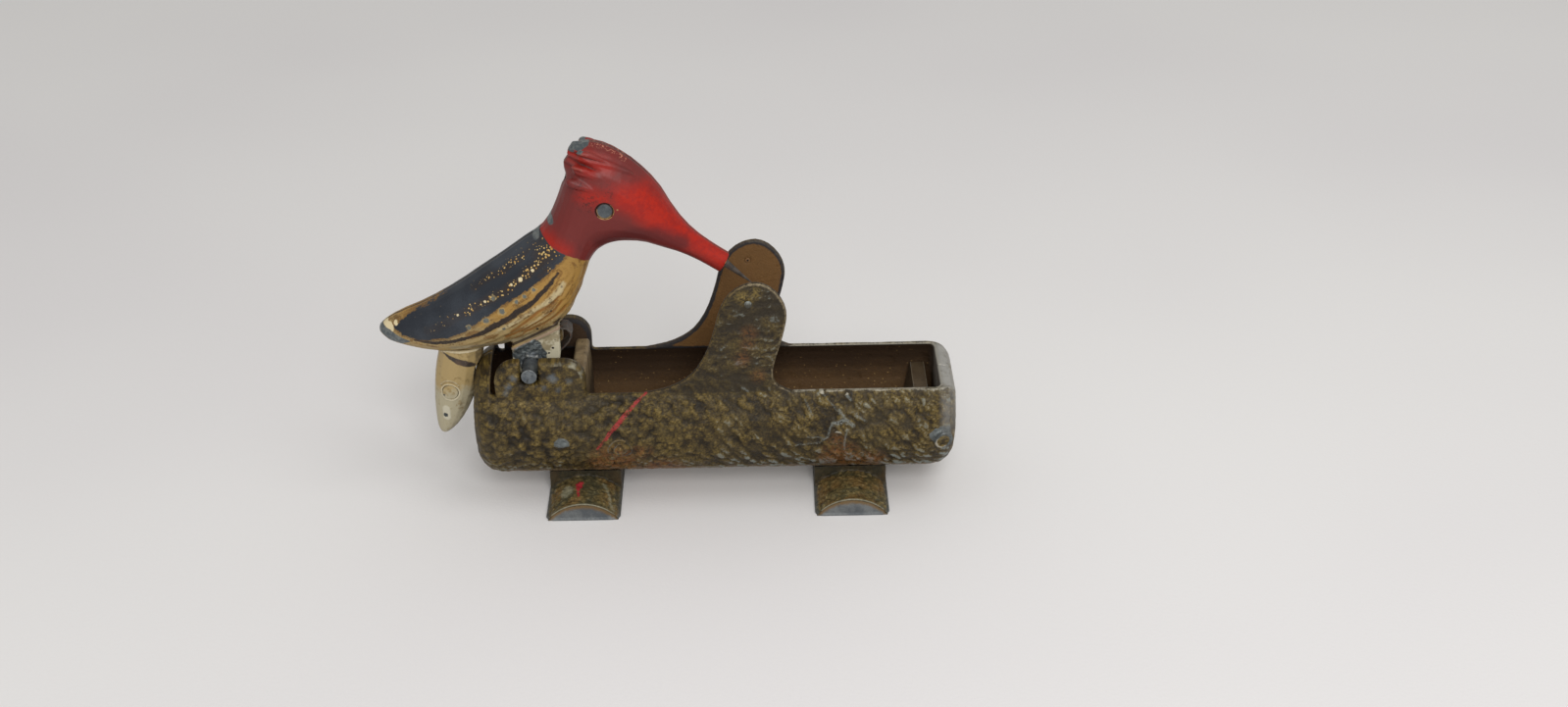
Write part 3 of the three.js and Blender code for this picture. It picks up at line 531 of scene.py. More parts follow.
def grow_bark():
    """A tree that pushes bark out of a surface. 'skin' is each point's place on the unrolled bark,
    'bark' how deep the bark is there, and 'grain' how far its scales are drawn out level."""
    board, given = maker_tree("bark", ("Depth", "Scale Size", "Ridges From", "Seed"))
    skin = named(board, "skin", "FLOAT_VECTOR")
    size = given.other("Scale Size")
    seed = board.add("ShaderNodeCombineXYZ", {}, {2: given.other("Seed")})
    place = board.shifted(skin, seed)
    along = board.add("ShaderNodeSeparateXYZ", {}, {0: skin})
    wander = {"Vector": place, "Scale": 0.33, "Detail": 2.0}
    wander = board.add("ShaderNodeTexNoise", {}, wander, "Color")
    wiggle = {"Vector": place, "Scale": 0.8, "Detail": 3.0}
    wiggle = board.add("ShaderNodeTexNoise", {}, wiggle, "Color")
    place = board.shifted(place, board.scaled(wander, (3.2, 3.2, 0.0)))
    bent = board.shifted(place, board.scaled(wiggle, (1.5, 1.5, 0.0)))
    knobs = board.cells(bent, size)
    knobs = 1 - knobs * knobs * 1.7
    cracks = board.cells(bent, size, "DISTANCE_TO_EDGE").between(0.0, 0.16)
    knobs = knobs * (cracks * 0.4 + 0.6)
    slant = board.scaled(board.turned(bent, math.radians(50)), (0.38, 1.2, 1.0))
    blades = board.cells(slant, size)
    blades = (1 - blades * blades * 1.8).most(0.0)
    cracks = board.cells(slant, size, "DISTANCE_TO_EDGE").between(0.0, 0.2)
    blades = blades * (cracks * 0.5 + 0.5) * 1.15
    level = board.scaled(bent, (0.3, 1.3, 1.0))
    wrinkles = board.noise(level, size * 0.7, 2.0).between(0.34, 0.66)
    turn = along + ragged(board.noise(place, 9.0, 2.0), 44) - given.other("Ridges From")
    turn = turn.between(-12.0, 14.0)
    scales = knobs * (1 - turn) + blades * turn
    drawn = named(board, "grain")
    scales = scales * (1 - drawn) + wrinkles * drawn
    crumbs = board.noise(bent, 0.8, 3.0, 0.6)
    swell = board.noise(place, 6.5, 2.0)
    relief = scales * 0.46 + crumbs * 0.5 + swell * 0.24
    rise = (relief - relief_level) * named(board, "bark") * given.other("Depth") * mm
    normal = board.add("GeometryNodeInputNormal")
    offset = board.add("ShaderNodeVectorMath", {"operation": "SCALE"}, {0: normal, "Scale": rise})
    kept = {"Geometry": given, "Name": "relief", "Value": relief}
    kept = board.add("GeometryNodeStoreNamedAttribute", {"data_type": "FLOAT"}, kept)
    moved = board.add("GeometryNodeSetPosition", {}, {"Geometry": kept, "Offset": offset})
    return ended(board, given, moved)


def made_by(tree, draft, name, **values):
    """Runs a geometry tree on a draft. The values' names have their spaces as underscores."""
    modifier = draft.modifiers.new("maker", "NODES")
    modifier.node_group = tree
    for item in tree.interface.items_tree:
        if item.in_out == "INPUT" and item.name.replace(" ", "_") in values:
            modifier[item.identifier] = values[item.name.replace(" ", "_")]
    return settled(draft, name)


def paint_bark(board):
    relief, skin = board["relief"], board.vector("skin")
    fine = board.noise(skin, 0.5, 4.0, 0.62)
    grit = board.noise(skin, 1.1, 3.0, 0.6)
    patch = board.noise(skin, 3.4, 3.0, 0.55)
    wide = board.noise(skin, 14.0, 2.0)
    crinkle = board.shifted(skin, board.scaled(board.noise(skin, 0.7, 2.0), (1.1, 1.1, 0.0)))
    lines = board.cells(crinkle, 0.85, "DISTANCE_TO_EDGE").between(0.0, 0.13)
    color = board.ramp(
        (relief - relief_level) * 1.05 + 0.49 + ragged(fine, 1.0, grit, 0.5, patch, 0.2),
        (0.1, shade(30, 23, 10)),
        (0.3, shade(58, 46, 20)),
        (0.52, shade(90, 74, 34)),
        (0.76, shade(122, 102, 50)),
        (0.96, shade(166, 146, 90)),
    )
    post, worn = board["post"], board["worn"]
    dull = (wide + ragged(patch, 0.8)).between(0.42, 0.66)
    color = color.coat(shade(72, 62, 40), dull * 0.35)
    color = color.coat(shade(42, 35, 24), post * (0.5 + dull * 0.3))
    color = color.coat(shade(34, 26, 15), (1 - lines) * 0.4)
    crest = relief + worn * 0.21 + ragged(patch, 0.5, fine, 0.45, grit, 0.3)
    crest = crest.between(0.88, 1.04)
    color = color.coat(shade(124, 130, 126), crest * (0.25 + worn * 0.55))
    gold = (board["gold"] + ragged(grit, 3.0)).between(1.2, -1.4)
    gold = gold * (fine + grit - 0.5).between(0.3, 0.7)
    color = color.coat(shade(140, 118, 60), gold * 0.8)
    color = color.coat(shade(122, 104, 82), board["underside"] * (patch * 0.6 + 0.5))
    rust = board["rust"] * (fine * 0.9 + grit - 0.5).between(0.2, 0.62)
    color = color.coat(shade(124, 76, 36), rust * 0.6)
    # Smooth brown paint inside, with gold flecks at the bottom of the trough.
    place, deep = board.own_place(), board["deep"]
    tone = ragged(fine, 0.45, wide, 0.45, grit, 0.3) + deep * 0.5
    lining = board.mix(shade(64, 47, 32), shade(98, 72, 42), tone.between(0.0, 0.7))
    lining = lining.coat(shade(108, 77, 41), post * (patch * 0.4 + 0.75))
    flecks = board.cells(place, 1.3).between(0.2, 0.13) * (1 - post) * fine.between(0.3, 0.6)
    flecks = flecks * (board.noise(place, 3.5) + deep * 0.16).between(0.5, 0.62)
    lining = lining.coat(shade(150, 120, 74), flecks)
    inside, hollow = board["inside"], board["hollow"]
    color = color.coat(lining, inside)
    # Painted shade darkens the hollows.
    color = color.coat(shade(24, 19, 13), hollow.between(0.02, 0.12) * 0.8)
    at_edge = (hollow + ragged(grit, 0.035, patch, 0.04)).between(-0.012, -0.04)
    color = color.coat(shade(44, 41, 42), at_edge * inside)
    # The edges are rubbed down to a thin line, gold on the left and pale metal on the right.
    pale = board["pale_edge"]
    rubbed = pale * 0.025 - board["edge"] + ragged(fine, 0.05, grit, 0.05)
    rubbed = rubbed.between(0.045, 0.08) * (1 - inside * 0.75)
    rubbed = rubbed * (patch + grit - 0.3 + pale * 0.5).between(0.35, 0.7)
    color = color.coat(board.mix(shade(118, 98, 60), shade(172, 166, 150), pale), rubbed * 0.9)
    ridge = (board["ridge"] + ragged(fine, 0.9, grit, 1.1)).between(0.25, -0.15)
    ridge = ridge * (fine + grit - 0.5).between(0.3, 0.6)
    color = color.coat(shade(122, 128, 124), ridge * 0.75)
    bare = (board["bare"] + ragged(fine, 0.4, grit, 0.3)).between(0.12, -0.16)
    metal = board.mix(shade(84, 88, 88), shade(112, 117, 116), grit.between(0.35, 0.65))
    color = color.coat(metal, bare)
    haze = (board["haze"] + ragged(grit, 2.0)).between(0.7, -0.9) * (1 - inside)
    color = color.coat(shade(100, 108, 114), haze * 0.65)
    plain = board["end_rim"] * (patch + grit * 0.6 - 0.3).between(0.1, 0.5)
    color = color.coat(shade(164, 162, 156), plain * 0.9)
    glint = (board["glint"] + ragged(grit, 3.0, fine, 1.2)).between(0.4, -1.1) * at_edge
    color = color.coat(shade(150, 146, 126), glint * (1 - inside) * 0.75)
    stroke = (board["scratch"] + ragged(fine, 0.7)).between(0.1, -0.12)
    stroke = stroke * (patch * 0.8 + fine * 1.6 + grit * 0.6).between(1.32, 1.58)
    color = color.coat(shade(160, 44, 48), stroke * 0.88)
    metal = crest * 0.4 + rubbed * 0.5 + bare * 0.6 + glint * 0.3
    rough = 0.52 + ragged(fine, 0.35) - metal * 0.1 + inside * 0.15
    grain = board.bump(fine * 0.7 + grit * 0.4 + lines * 0.3, 0.17, 0.85)
    return color, rough, metal.least(0.75), grain


bark_tree = grow_bark()
bark_finish = finish("bark", paint_bark, Specular_IOR_Level=0.3)


def dress_log(name, node, side):
    piece = recast(name, node, voxel=log_voxel, easing=3)
    close_seam(piece, side)
    places, normals = points_of(piece)
    x, y, z = places.T
    out, up = y * side, z - log_axis_z
    angle = np.arctan2(up, out)
    above = z > rim_z
    round_way = np.where(above, log_radius * rim_angle + z - rim_z, log_radius * angle)

    # Outside faces look away from a rod that runs down the middle of the log.
    rod_x = np.clip(x, log_left + 8, log_right - 8)
    away = np.stack([3 * (x - rod_x), y, np.where(above, 0, up)], 1)
    facing = (away * normals).sum(1) / (np.linalg.norm(away, axis=1) + 1e-6)
    outside = step(facing, -0.45, -0.1)
    face = step(facing, 0.25, 0.65)

    # The bark is thin on the ear and the post, and dies out at edges, ends and underneath.
    from_ends = np.minimum(x - log_left, log_right - x)
    end_face = (np.abs(normals[:, 0]) > 0.72) & (from_ends < 4) & (facing > 0)
    end_band = step(x, log_right - 6, log_right - 2)
    apart = np.full(len(x), 40.0 * side)
    skin = np.stack([x, round_way, apart], 1)
    skin[end_face] = np.stack([y + 90 * np.sign(x), z, apart], 1)[end_face]
    ear = step(x, ear_ends[0] - 1.2, ear_ends[0] + 0.6) * step(z, rim_z - 4.6, rim_z - 2.6)
    ear = ear * step(x, ear_ends[1] + 1.2, ear_ends[1] - 0.6)
    post = above & (x > post_ends[0] - 1) & (x < post_ends[1] + 1)
    hollow = hollowness(piece, rounds=3)
    bark = face * (0.2 + 0.8 * step(from_ends, 0.6, 6)) * (1 - 0.72 * ear)
    bark = bark * (0.1 + 0.9 * step(angle, math.radians(-66), math.radians(-40)))
    at_rim = step(np.abs(z - rim_z), 0.1, 1.5) * ~(above & (ear < 0.5))
    bark = bark * np.where(post, 0.5, at_rim)
    bark = bark * step(hollow, -0.09, -0.03) * (1 - 0.55 * end_band)

    # Only the front carries knots, worn ridges, spots, glints and the scratch.
    marks = ("bare", "haze", "glint", "gold", "ridge", "scratch")
    marks = {mark: np.full(len(x), far_off) for mark in marks}
    at_pin = np.hypot(x - post_pin.x, z - post_pin.z) < 1.7
    hollow = np.where(at_pin & (outside < 0.5), hollow * 0.15, hollow)
    if side < 0:
        x_k, z_k, r_k = bare_knot
        gap = np.hypot(x - x_k, z - z_k)
        bark = bark * step(gap, r_k * 0.9, r_k * 1.3)
        disc = np.maximum(gap - r_k, z_k - 0.5 - z)
        rise = bare_knot_rise * step(disc, 0.25, -0.1)
        x_k, z_k, r_k = round_knot
        gap = np.hypot((x - x_k) / 1.15, z - z_k)
        rings = np.cos(gap * 5.0 + 0.8 * np.sin(np.arctan2(z - z_k, x - x_k) * 3))
        rise = rise + round_knot_rise * rings * step(gap, r_k * 1.25, r_k * 0.85)
        bark = bark * (0.35 + 0.65 * step(gap, r_k * 0.8, r_k * 1.4))
        rubbed = np.maximum((0.8 - rings) * 0.7, np.maximum(gap - r_k * 1.15, 1.0 - gap))
        ridge = nearest_path(x, z, bark_ridges, bark_ridge_half_widths)
        rise = rise + bark_ridge_rise * mound(ridge, 0.4)
        dent = from_spots(x, z, [rusty_hollow])
        rise = rise - rusty_hollow_depth * step(dent, 0.3, -0.6) * step(ridge, 0.1, 0.6)
        move_points(piece, normals, face * rise)
        bark = bark * (0.55 + 0.45 * step(np.minimum(ridge, dent), 0.2, 1.2))
        gap = np.hypot(x - stub_middle[0], z - stub_middle[1])
        stub = (y < -14) & (gap < stub_radius + 1.4) & (x > stub_middle[0] - stub_radius - 0.8)
        bark = bark * np.where(stub, 0.1, 1)
        hollow = np.where(stub, hollow * 0.25, hollow)
        ring = np.hypot(x - stub_middle[0] - 0.1, z - stub_middle[1] + 0.2)
        stub_bare = 0.4 - 0.9 * step(ring, 1.5, 1.9) * step(x + z, 80, 84)
        stub_gold = np.abs(ring - 1.3) - 0.4
        marks = {
            "bare": np.minimum(np.minimum(disc, rubbed), only(stub, stub_bare)),
            "haze": from_spots(x, z, ear_spots),
            "glint": from_spots(x, z, ear_glints),
            "gold": np.minimum(from_spots(x, z, gold_spots), only(stub, stub_gold)),
            "ridge": ridge,
            "scratch": from_path(x, z, scratch, scratch_half_widths),
        }
    lower = step(angle, math.radians(-12), math.radians(-38))
    worn = np.clip(0.1 + 0.4 * step(x, -20, 30) + 0.7 * lower + 0.6 * end_band, 0, 1.3)
    underside = step(angle, math.radians(-46), math.radians(-56)) * outside
    edge = np.where(hollow < 0, hollowness(piece, rounds=2), hollow)
    end_rim = step(x, log_right - 5, log_right - 2.6) * step(z, 17, 25)
    store(
        piece,
        skin=skin,
        bark=bark,
        grain=np.where(post, step(z, rim_z, rim_z + 7), 0.0),
        inside=1 - outside,
        underside=underside * ~above * ~end_face,
        worn=worn * (1 - 0.6 * end_face),
        rust=step(from_spots(x, z, rust_spots), 1, -3) * outside,
        post=post.astype(float),
        deep=step(z, rim_z - 3, rim_z - 15),
        hollow=hollow,
        edge=edge * np.where(z < rim_z - 1, step(marks["ridge"], 0.3, 1.4), 1),
        pale_edge=step(x, post_ends[1] - 16, post_ends[1] - 8) * (1 - 0.7 * post),
        end_rim=end_rim * (1 - 0.6 * step(np.abs(y), 9, 12)) * (1 - 0.15 * end_face),
        **{mark: only(outside > 0.5, gap) for mark, gap in marks.items()},
    )
    piece = made_by(
        bark_tree,
        piece,
        name,
        Depth=bark_depth,
        Scale_Size=bark_pitch,
        Ridges_From=float(ridges_from_x),
        Seed=11.0 - 36.0 * side,
        Finish=bark_finish,
    )
    fit(piece, "log_base", "bark", node)


dress_log("log_front", "log_front_half", -1)
dress_log("log_rear", "log_rear_half", 1)


# Bulkhead and ramp. A tan-painted wall keeps the picks out of the bird's chamber, and a sloping
# block ends the trough. Both are castings let in between the halves of the log.


def paint_tan(board):
    place = board.own_place()
    fine = board.noise(place, 0.5, 4.0, 0.6)
    patch = board.noise(place, 3.5, 3.0)
    tan = (patch + fine * 0.3).between(0.45, 0.85)
    color = board.mix(shade(104, 86, 58), shade(138, 118, 84), tan)
    stain = (board.noise(place, 1.6, 3.0) + fine * 0.4).between(0.78, 0.92)
    color = color.coat(shade(72, 56, 38), stain)
    color = color.coat(shade(60, 46, 31), board["low"] * 0.85)
    wear = (ragged(fine, 0.05) - board["hollow"]).between(0.03, 0.08)
    color = color.coat(shade(164, 152, 128), wear * 0.7)
    color = color.coat(shade(96, 102, 106), wear * patch.between(0.52, 0.62))
    return color, 0.55 + fine * 0.15, 0.05, board.bump(fine + patch * 0.5, 0.12, 0.7)


tan_finish = finish("tan", paint_tan)


def plain_piece(name, node, body, slot, material, voxel, easing):
    """A recast piece with its hollows and its depth below the rim stored for its finish."""
    piece = recast(name, node, voxel, easing)
    low = step(points_of(piece)[0][:, 2], rim_z, rim_z - 8)
    store(piece, hollow=hollowness(piece, rounds=4), low=low)
    piece.data.materials.append(material)
    fit(piece, body, slot, node)


plain_piece("bulkhead_cast", "bulkhead", "log_base", "insert", tan_finish, voxel=0.22, easing=2)
plain_piece("ramp_cast", "trough_ramp", "log_base", "insert", tan_finish, voxel=0.22, easing=2)


# Plug. A round grey metal plug closes the core hole in the log's right end. It is pressed in from
# outside and stands a little proud.


def paint_grey(board):
    place, hollow = board.own_place(), board["hollow"]
    fine = board.noise(place, 0.35, 4.0, 0.6)
    patch = board.noise(place, 1.8, 3.0)
    grey = (patch * 0.7 + fine * 0.5).between(0.45, 0.8)
    color = board.mix(shade(80, 86, 91), shade(118, 123, 125), grey)
    stain = (board.noise(place, 0.8, 2.0) + fine * 0.4).between(0.78, 0.92)
    color = color.coat(shade(58, 58, 58), stain)
    # Painted shade darkens the hollows.
    color = color.coat(shade(40, 38, 36), hollow.between(0.01, 0.06) * 0.8)
    color = color.coat(shade(160, 160, 154), hollow.between(-0.02, -0.07) * 0.5)
    return color, 0.42 + fine * 0.25, 0.6, board.bump(fine + patch * 0.6, 0.1, 0.8)


grey_finish = finish("grey_metal", paint_grey)
plain_piece(
    "end_plug_cast", "end_plug", "log_base", "grey_metal", grey_finish, voxel=0.16, easing=3
)


# Feet. Two half logs of the same casting lie crosswise under the log, bark on top, with bare
# D-shaped ends that have a raised lip. The log sits on a saddle block in the middle of each.

foot_end_y = 19.7
foot_crest = 4.9
foot_arch_radius = 11.1
foot_middles = {"foot_left": -21.85, "foot_right": 43.85}
foot_bark_depth = 1.3
foot_bark_pitch = 1.4
foot_voxel = 0.24
saddle_half_length = 6.5
red_dab = [(-23.1, -10.5), (-23.3, -13.0), (-23.0, -16.2)]
red_dab_half_widths = (1.0, 0.45, 0.25)
pale_patch = (-26.2, -12.6, 1.9)
# The worn side edge of the left foot's top.
pale_side = [(-17.2, -9.5), (-15.9, -12.5), (-14.6, -18.5)]


def paint_foot(board):
    skin = board.vector("skin")
    fine = board.noise(skin, 0.5, 4.0, 0.62)
    grit = board.noise(skin, 1.2, 3.0, 0.6)
    patch = board.noise(skin, 4.5, 3.0)
    color = board.ramp(
        (board["relief"] - 0.6) * 0.9 + 0.5 + ragged(fine, 0.9, grit, 0.5),
        (0.1, shade(38, 33, 20)),
        (0.4, shade(80, 70, 43)),
        (0.65, shade(112, 97, 60)),
        (0.92, shade(156, 142, 104)),
    )
    blot = patch + ragged(grit, 0.3)
    color = color.coat(shade(124, 90, 46), blot.between(0.48, 0.66) * board["crown"] * 0.4)
    color = color.coat(shade(58, 62, 50), blot.between(0.5, 0.36) * 0.5)
    color = color.coat(shade(78, 82, 82), board["skirt"] * (patch + 0.3).least(1.0))
    # Painted shade darkens the saddle block's face, under the log.
    color = color.coat(shade(38, 34, 26), board["saddle"] * (0.5 + grit * 0.5))
    pale = (board["pale"] + ragged(grit, 1.8, fine, 0.8)).between(0.3, -0.7)
    color = color.coat(shade(146, 144, 120), pale * 0.7)
    # Painted shade darkens the hollows.
    color = color.coat(shade(30, 26, 20), board["hollow"].between(0.02, 0.1) * 0.8)
    stroke = (board["dab"] + ragged(fine, 0.9, grit, 0.9)).between(0.1, -0.15)
    color = color.coat(shade(166, 42, 52), stroke * (fine + 0.45).least(0.95))
    # The bare end: blue-grey below, gold paint above, and a pale lip.
    rise, end = board["lip"] + ragged(grit, 1.1, fine, 0.6), board["end"]
    face = (patch + fine * 0.4).between(0.5, 0.85)
    face = board.mix(shade(86, 90, 93), shade(116, 119, 119), face)
    face = face.coat(shade(118, 92, 52), rise.between(2.1, 1.1) * 0.85)
    face = face.coat(shade(66, 58, 42), rise.between(0.9, 0.5))
    color = color.coat(face, end)
    line = (board["rim"] + ragged(fine, 0.3)).between(0.12, -0.12)
    color = color.coat(shade(158, 154, 132), line * (grit + 0.25).least(1.0))
    grain = board.bump(fine * 0.7 + grit * 0.5, 0.16, 0.8)
    return color, 0.5 + ragged(fine, 0.3), end * 0.35, grain


foot_finish = finish("foot_bark", paint_foot, Specular_IOR_Level=0.3)


def dress_foot(name, node):
    piece = recast(name, node, voxel=foot_voxel, easing=3)
    places, normals = points_of(piece)
    x, y, z = places.T
    across = x - foot_middles[node]
    arch = np.sqrt(np.clip(foot_arch_radius**2 - across**2, 1, None))
    lip = foot_crest - foot_arch_radius + arch - z
    end = step(np.abs(normals[:, 1]), 0.5, 0.85) * step(np.abs(y), foot_end_y - 1, foot_end_y - 0.4)
    hollow = hollowness(piece, rounds=4)
    top = step(normals[:, 2], 0.15, 0.45) * step(z, 0.5, 1.4) * (1 - end)
    bark = top * step(hollow, -0.07, -0.02) * step(np.abs(np.abs(y) - foot_end_y), 0.3, 1.6) * 0.8
    # The end is sunk inside its lip, and a thin flange runs round the sole.
    rise = -0.3 * end * step(lip, 0.35, 0.75) * step(z, 0.2, 0.7)
    flange = 0.25 * step(z, 1.0, 0.5) * step(np.abs(normals[:, 0]), 0.3, 0.8)
    corner = step(np.abs(y), foot_end_y - 1.6, foot_end_y) * step(np.abs(across), 7.2, 8.9)
    move_points(piece, normals, (rise + flange - 0.75 * corner) * step(normals[:, 2], -0.9, -0.6))
    moved = points_of(piece)[0]
    moved[:, 2] = np.maximum(moved[:, 2], 0.02)
    put_points(piece, moved)
    left = (node == "foot_left") & (normals[:, 2] > 0.15)
    patch_x, patch_y, patch_radius = pale_patch
    pale = np.hypot(x - patch_x, (y - patch_y) * 0.75) - patch_radius
    # Where the saddle block's face lies under the log, for its painted shade.
    saddle = step(np.abs(y), saddle_half_length + 1.2, saddle_half_length + 0.2)
    store(
        piece,
        skin=np.stack([across, y, z + 90 + foot_middles[node]], 1),
        bark=bark,
        grain=np.full(len(x), 0.35),
        end=end,
        lip=lip,
        rim=only(end > 0.3, np.abs(lip - 0.3) - 0.2),
        skirt=step(z, 1.4, 0.6) * (1 - end),
        crown=step(lip, 1.6, 0.2),
        saddle=saddle * step(lip, 0.0, -0.5),
        hollow=hollow,
        dab=only(left, from_path(x, y, red_dab, red_dab_half_widths)),
        pale=only(left, np.minimum(pale, from_path(x, y, pale_side, 0.5))),
    )
    piece = made_by(
        bark_tree,
        piece,
        name,
        Depth=foot_bark_depth,
        Scale_Size=foot_bark_pitch,
        Ridges_From=60.0,
        Seed=5.0 + foot_middles[node],
        Finish=foot_finish,
    )
    fit(piece, "log_base", "bark", node)


dress_foot("left_foot", "foot_left")
dress_foot("right_foot", "foot_right")


# Rivets. Soft grey metal pins with hammered round heads: four through the log's floor into its
# feet, and one near the top of each post.

foot_head_radius = 2.0
foot_head_rise = 0.8
foot_shank_radius = 1.1


def turn_rivets():
    """A tree that sets a turned rivet on each point, along the point's 'way'. The point is where
    the head meets the surface."""
    sizes = ("Head Radius", "Head Rise", "Shank Radius", "Shank Length", "Dents")
    board, given = maker_tree("rivets", sizes)
    # A grid is bent round into a turned shape: one way round it, the other down its profile.
    grid = {"Size X": 1.0, "Size Y": 1.0, "Vertices X": 33, "Vertices Y": 25}
    sheet = board.add("GeometryNodeMeshGrid", {}, grid)
    flat = board.add("GeometryNodeInputPosition")
    parts = board.add("ShaderNodeSeparateXYZ", {}, {0: flat})
    round_turn = parts * math.tau
    down = parts.other(1) + 0.5
    quarter = down.least(0.5) * math.pi
    head_radius = given.other("Head Radius")
    shank_radius = given.other("Shank Radius")
    dome = quarter.math("SINE")
    neck = ((down - 0.5) * 8).most(0.0).least(1.0)
    shank = ((down - 0.625) * 4).most(0.0).least(1.0)
    cap = ((down - 0.875) * 8).most(0.0).least(1.0)
    reach = dome * head_radius - neck * (head_radius - shank_radius) - cap * shank_radius
    drop = quarter.math("COSINE") * given.other("Head Rise")
    drop = drop - shank * given.other("Shank Length")
    cosine, sine = round_turn.math("COSINE"), round_turn.math("SINE")
    dented = {0: cosine * dome, 1: sine * dome, 2: down * 4}
    dented = board.noise(board.add("ShaderNodeCombineXYZ", {}, dented), 0.8, 2.0)
    dents = (dented - 0.5) * given.other("Dents")
    reach = reach + dents * dome * (1 - cap)
    drop = drop + dents * (1 - neck)
    bent = board.add("ShaderNodeCombineXYZ", {}, {0: cosine * reach, 1: sine * reach, 2: drop})
    body = board.add("GeometryNodeSetPosition", {}, {"Geometry": sheet, "Position": bent})
    body = board.add("GeometryNodeMergeByDistance", {}, {"Geometry": body, "Distance": 0.004 * mm})
    body = board.add("GeometryNodeFlipFaces", {}, {"Mesh": body})
    way = named(board, "way", "FLOAT_VECTOR")
    aim = board.add("FunctionNodeAlignRotationToVector", {"axis": "Z"}, {"Vector": way})
    placed = {"Points": given, "Instance": body, "Rotation": aim}
    return ended(board, given, board.add("GeometryNodeInstanceOnPoints", {}, placed))


rivet_tree = turn_rivets()


def rivets(name, nodes, spots, ways, body, material, **sizes):
    """One mesh of rivets that stand for those nodes. Spots and sizes in millimetres."""
    mesh = bpy.data.meshes.new(name + "_spots")
    mesh.from_pydata([Vector(spot) * mm for spot in spots], [], [])
    draft = bpy.data.objects.new(name + "_spots", mesh)
    scene.collection.objects.link(draft)
    store(draft, way=np.array(ways, float))
    sizes = {size: value * mm for size, value in sizes.items()}
    piece = made_by(rivet_tree, draft, name, Finish=material, **sizes)
    store(piece, hollow=hollowness(piece, rounds=2))
    fit(piece, body, "grey_metal", *nodes)


feet_and_rows = [(foot, row) for foot in ("left", "right") for row in ("front", "rear")]
foot_rivets = [f"foot_rivet_{foot}_{row}" for foot, row in feet_and_rows]
foot_rivet_spots = []
for node in foot_rivets:
    low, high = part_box(node)
    middle = (low + high) / 2 / mm
    foot_rivet_spots.append((middle.x, middle.y, high.z / mm - foot_head_rise))
low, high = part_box(foot_rivets[0])
rivets(
    "foot_rivets",
    foot_rivets,
    foot_rivet_spots,
    [(0, 0, 1)] * 4,
    "log_base",
    grey_finish,
    Head_Radius=foot_head_radius,
    Head_Rise=foot_head_rise,
    Shank_Radius=foot_shank_radius,
    Shank_Length=(high.z - low.z) / mm - foot_head_rise,
    Dents=0.12,
)

# The pin in each post fills its hole and ends flush inside, under the lining's paint.
post_pin_radius = 0.63
post_pin_recess = 0.45
post_head_radius = 0.95
post_head_rise = 0.4


def paint_post_pin(board):
    place = board.own_place()
    fine = board.noise(place, 0.3, 4.0, 0.6)
    parts = board.add("ShaderNodeSeparateXYZ", {}, {0: place})
    aside = parts - post_pin.x
    above = parts.other(2) - post_pin.z
    gap = aside * aside + above * above + ragged(fine, 0.06)
    # Brown lining paint, with a dark dot in the middle that is painted shade, where the hole would
    # show dark.
    color = board.mix(shade(122, 88, 51), shade(26, 19, 14), gap.between(0.1, 0.05))
    # The head is paler towards its top, a painted highlight, over worn metal in random patches.
    worn = (fine * 0.7 + above * 0.35).between(0.35, 0.7)
    head = board.mix(shade(66, 64, 55), shade(138, 142, 138), worn)
    out = parts.other(1).math("ABSOLUTE")
    color = color.coat(head, out.between(rim_half_width - 0.4, rim_half_width - 0.1))
    return color, 0.5 + fine * 0.2, 0.2, board.bump(fine, 0.08, 0.8)


post_pin_finish = finish("post_pin", paint_post_pin)
for row, side in (("front", -1), ("rear", 1)):
    low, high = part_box("post_rivet_" + row)
    middle = (low + high) / 2 / mm
    outer = (low.y if side < 0 else high.y) / mm
    rivets(
        "post_rivet_" + row + "_pin",
        ["post_rivet_" + row],
        [(middle.x, outer - side * post_head_rise, middle.z)],
        [(0, side, 0)],
        "log_base",
        post_pin_finish,
        Head_Radius=post_head_radius,
        Head_Rise=post_head_rise,
        Shank_Radius=post_pin_radius,
        Shank_Length=(high.y - low.y) / mm - post_head_rise + post_pin_recess,
        Dents=0.06,
    )


# Bird. Two thin shells cast in white metal, joined along the back and the belly, with a leg each.
# The head is painted red, the wings blue-black over ochre, the belly cream with brown streaks, and
# the paint is chipped to grey metal. Feather ridges and three ridges of the crest are cast in.

bird_voxel = 0.258
# The lower edge of the red head.
red_edge = [
    (-36, 76), (-29.6, 70.1), (-28.0, 68.9), (-26.3, 67.4), (-23.4, 65.8), (-20.8, 64.3),
    (-18.2, 62.1), (-11, 57),
]
wing_edge = [
    (-23.4, 65.8), (-23.6, 65.0), (-25.8, 63.0), (-28.5, 60.4), (-32.1, 57.8), (-35.9, 55.3),
    (-39.9, 52.5), (-43.5, 49.9), (-46.8, 47.4), (-49.6, 45.4), (-53.0, 44.1), (-56.0, 43.5),
    (-59.6, 43.0), (-62.5, 43.5), (-64.6, 44.5), (-66.0, 45.6), (-64.5, 46.7), (-62.3, 48.5),
    (-60.1, 49.7), (-57.6, 51.0), (-55.2, 52.4), (-52.8, 54.0), (-48, 61), (-28, 74), (-20, 70),
]
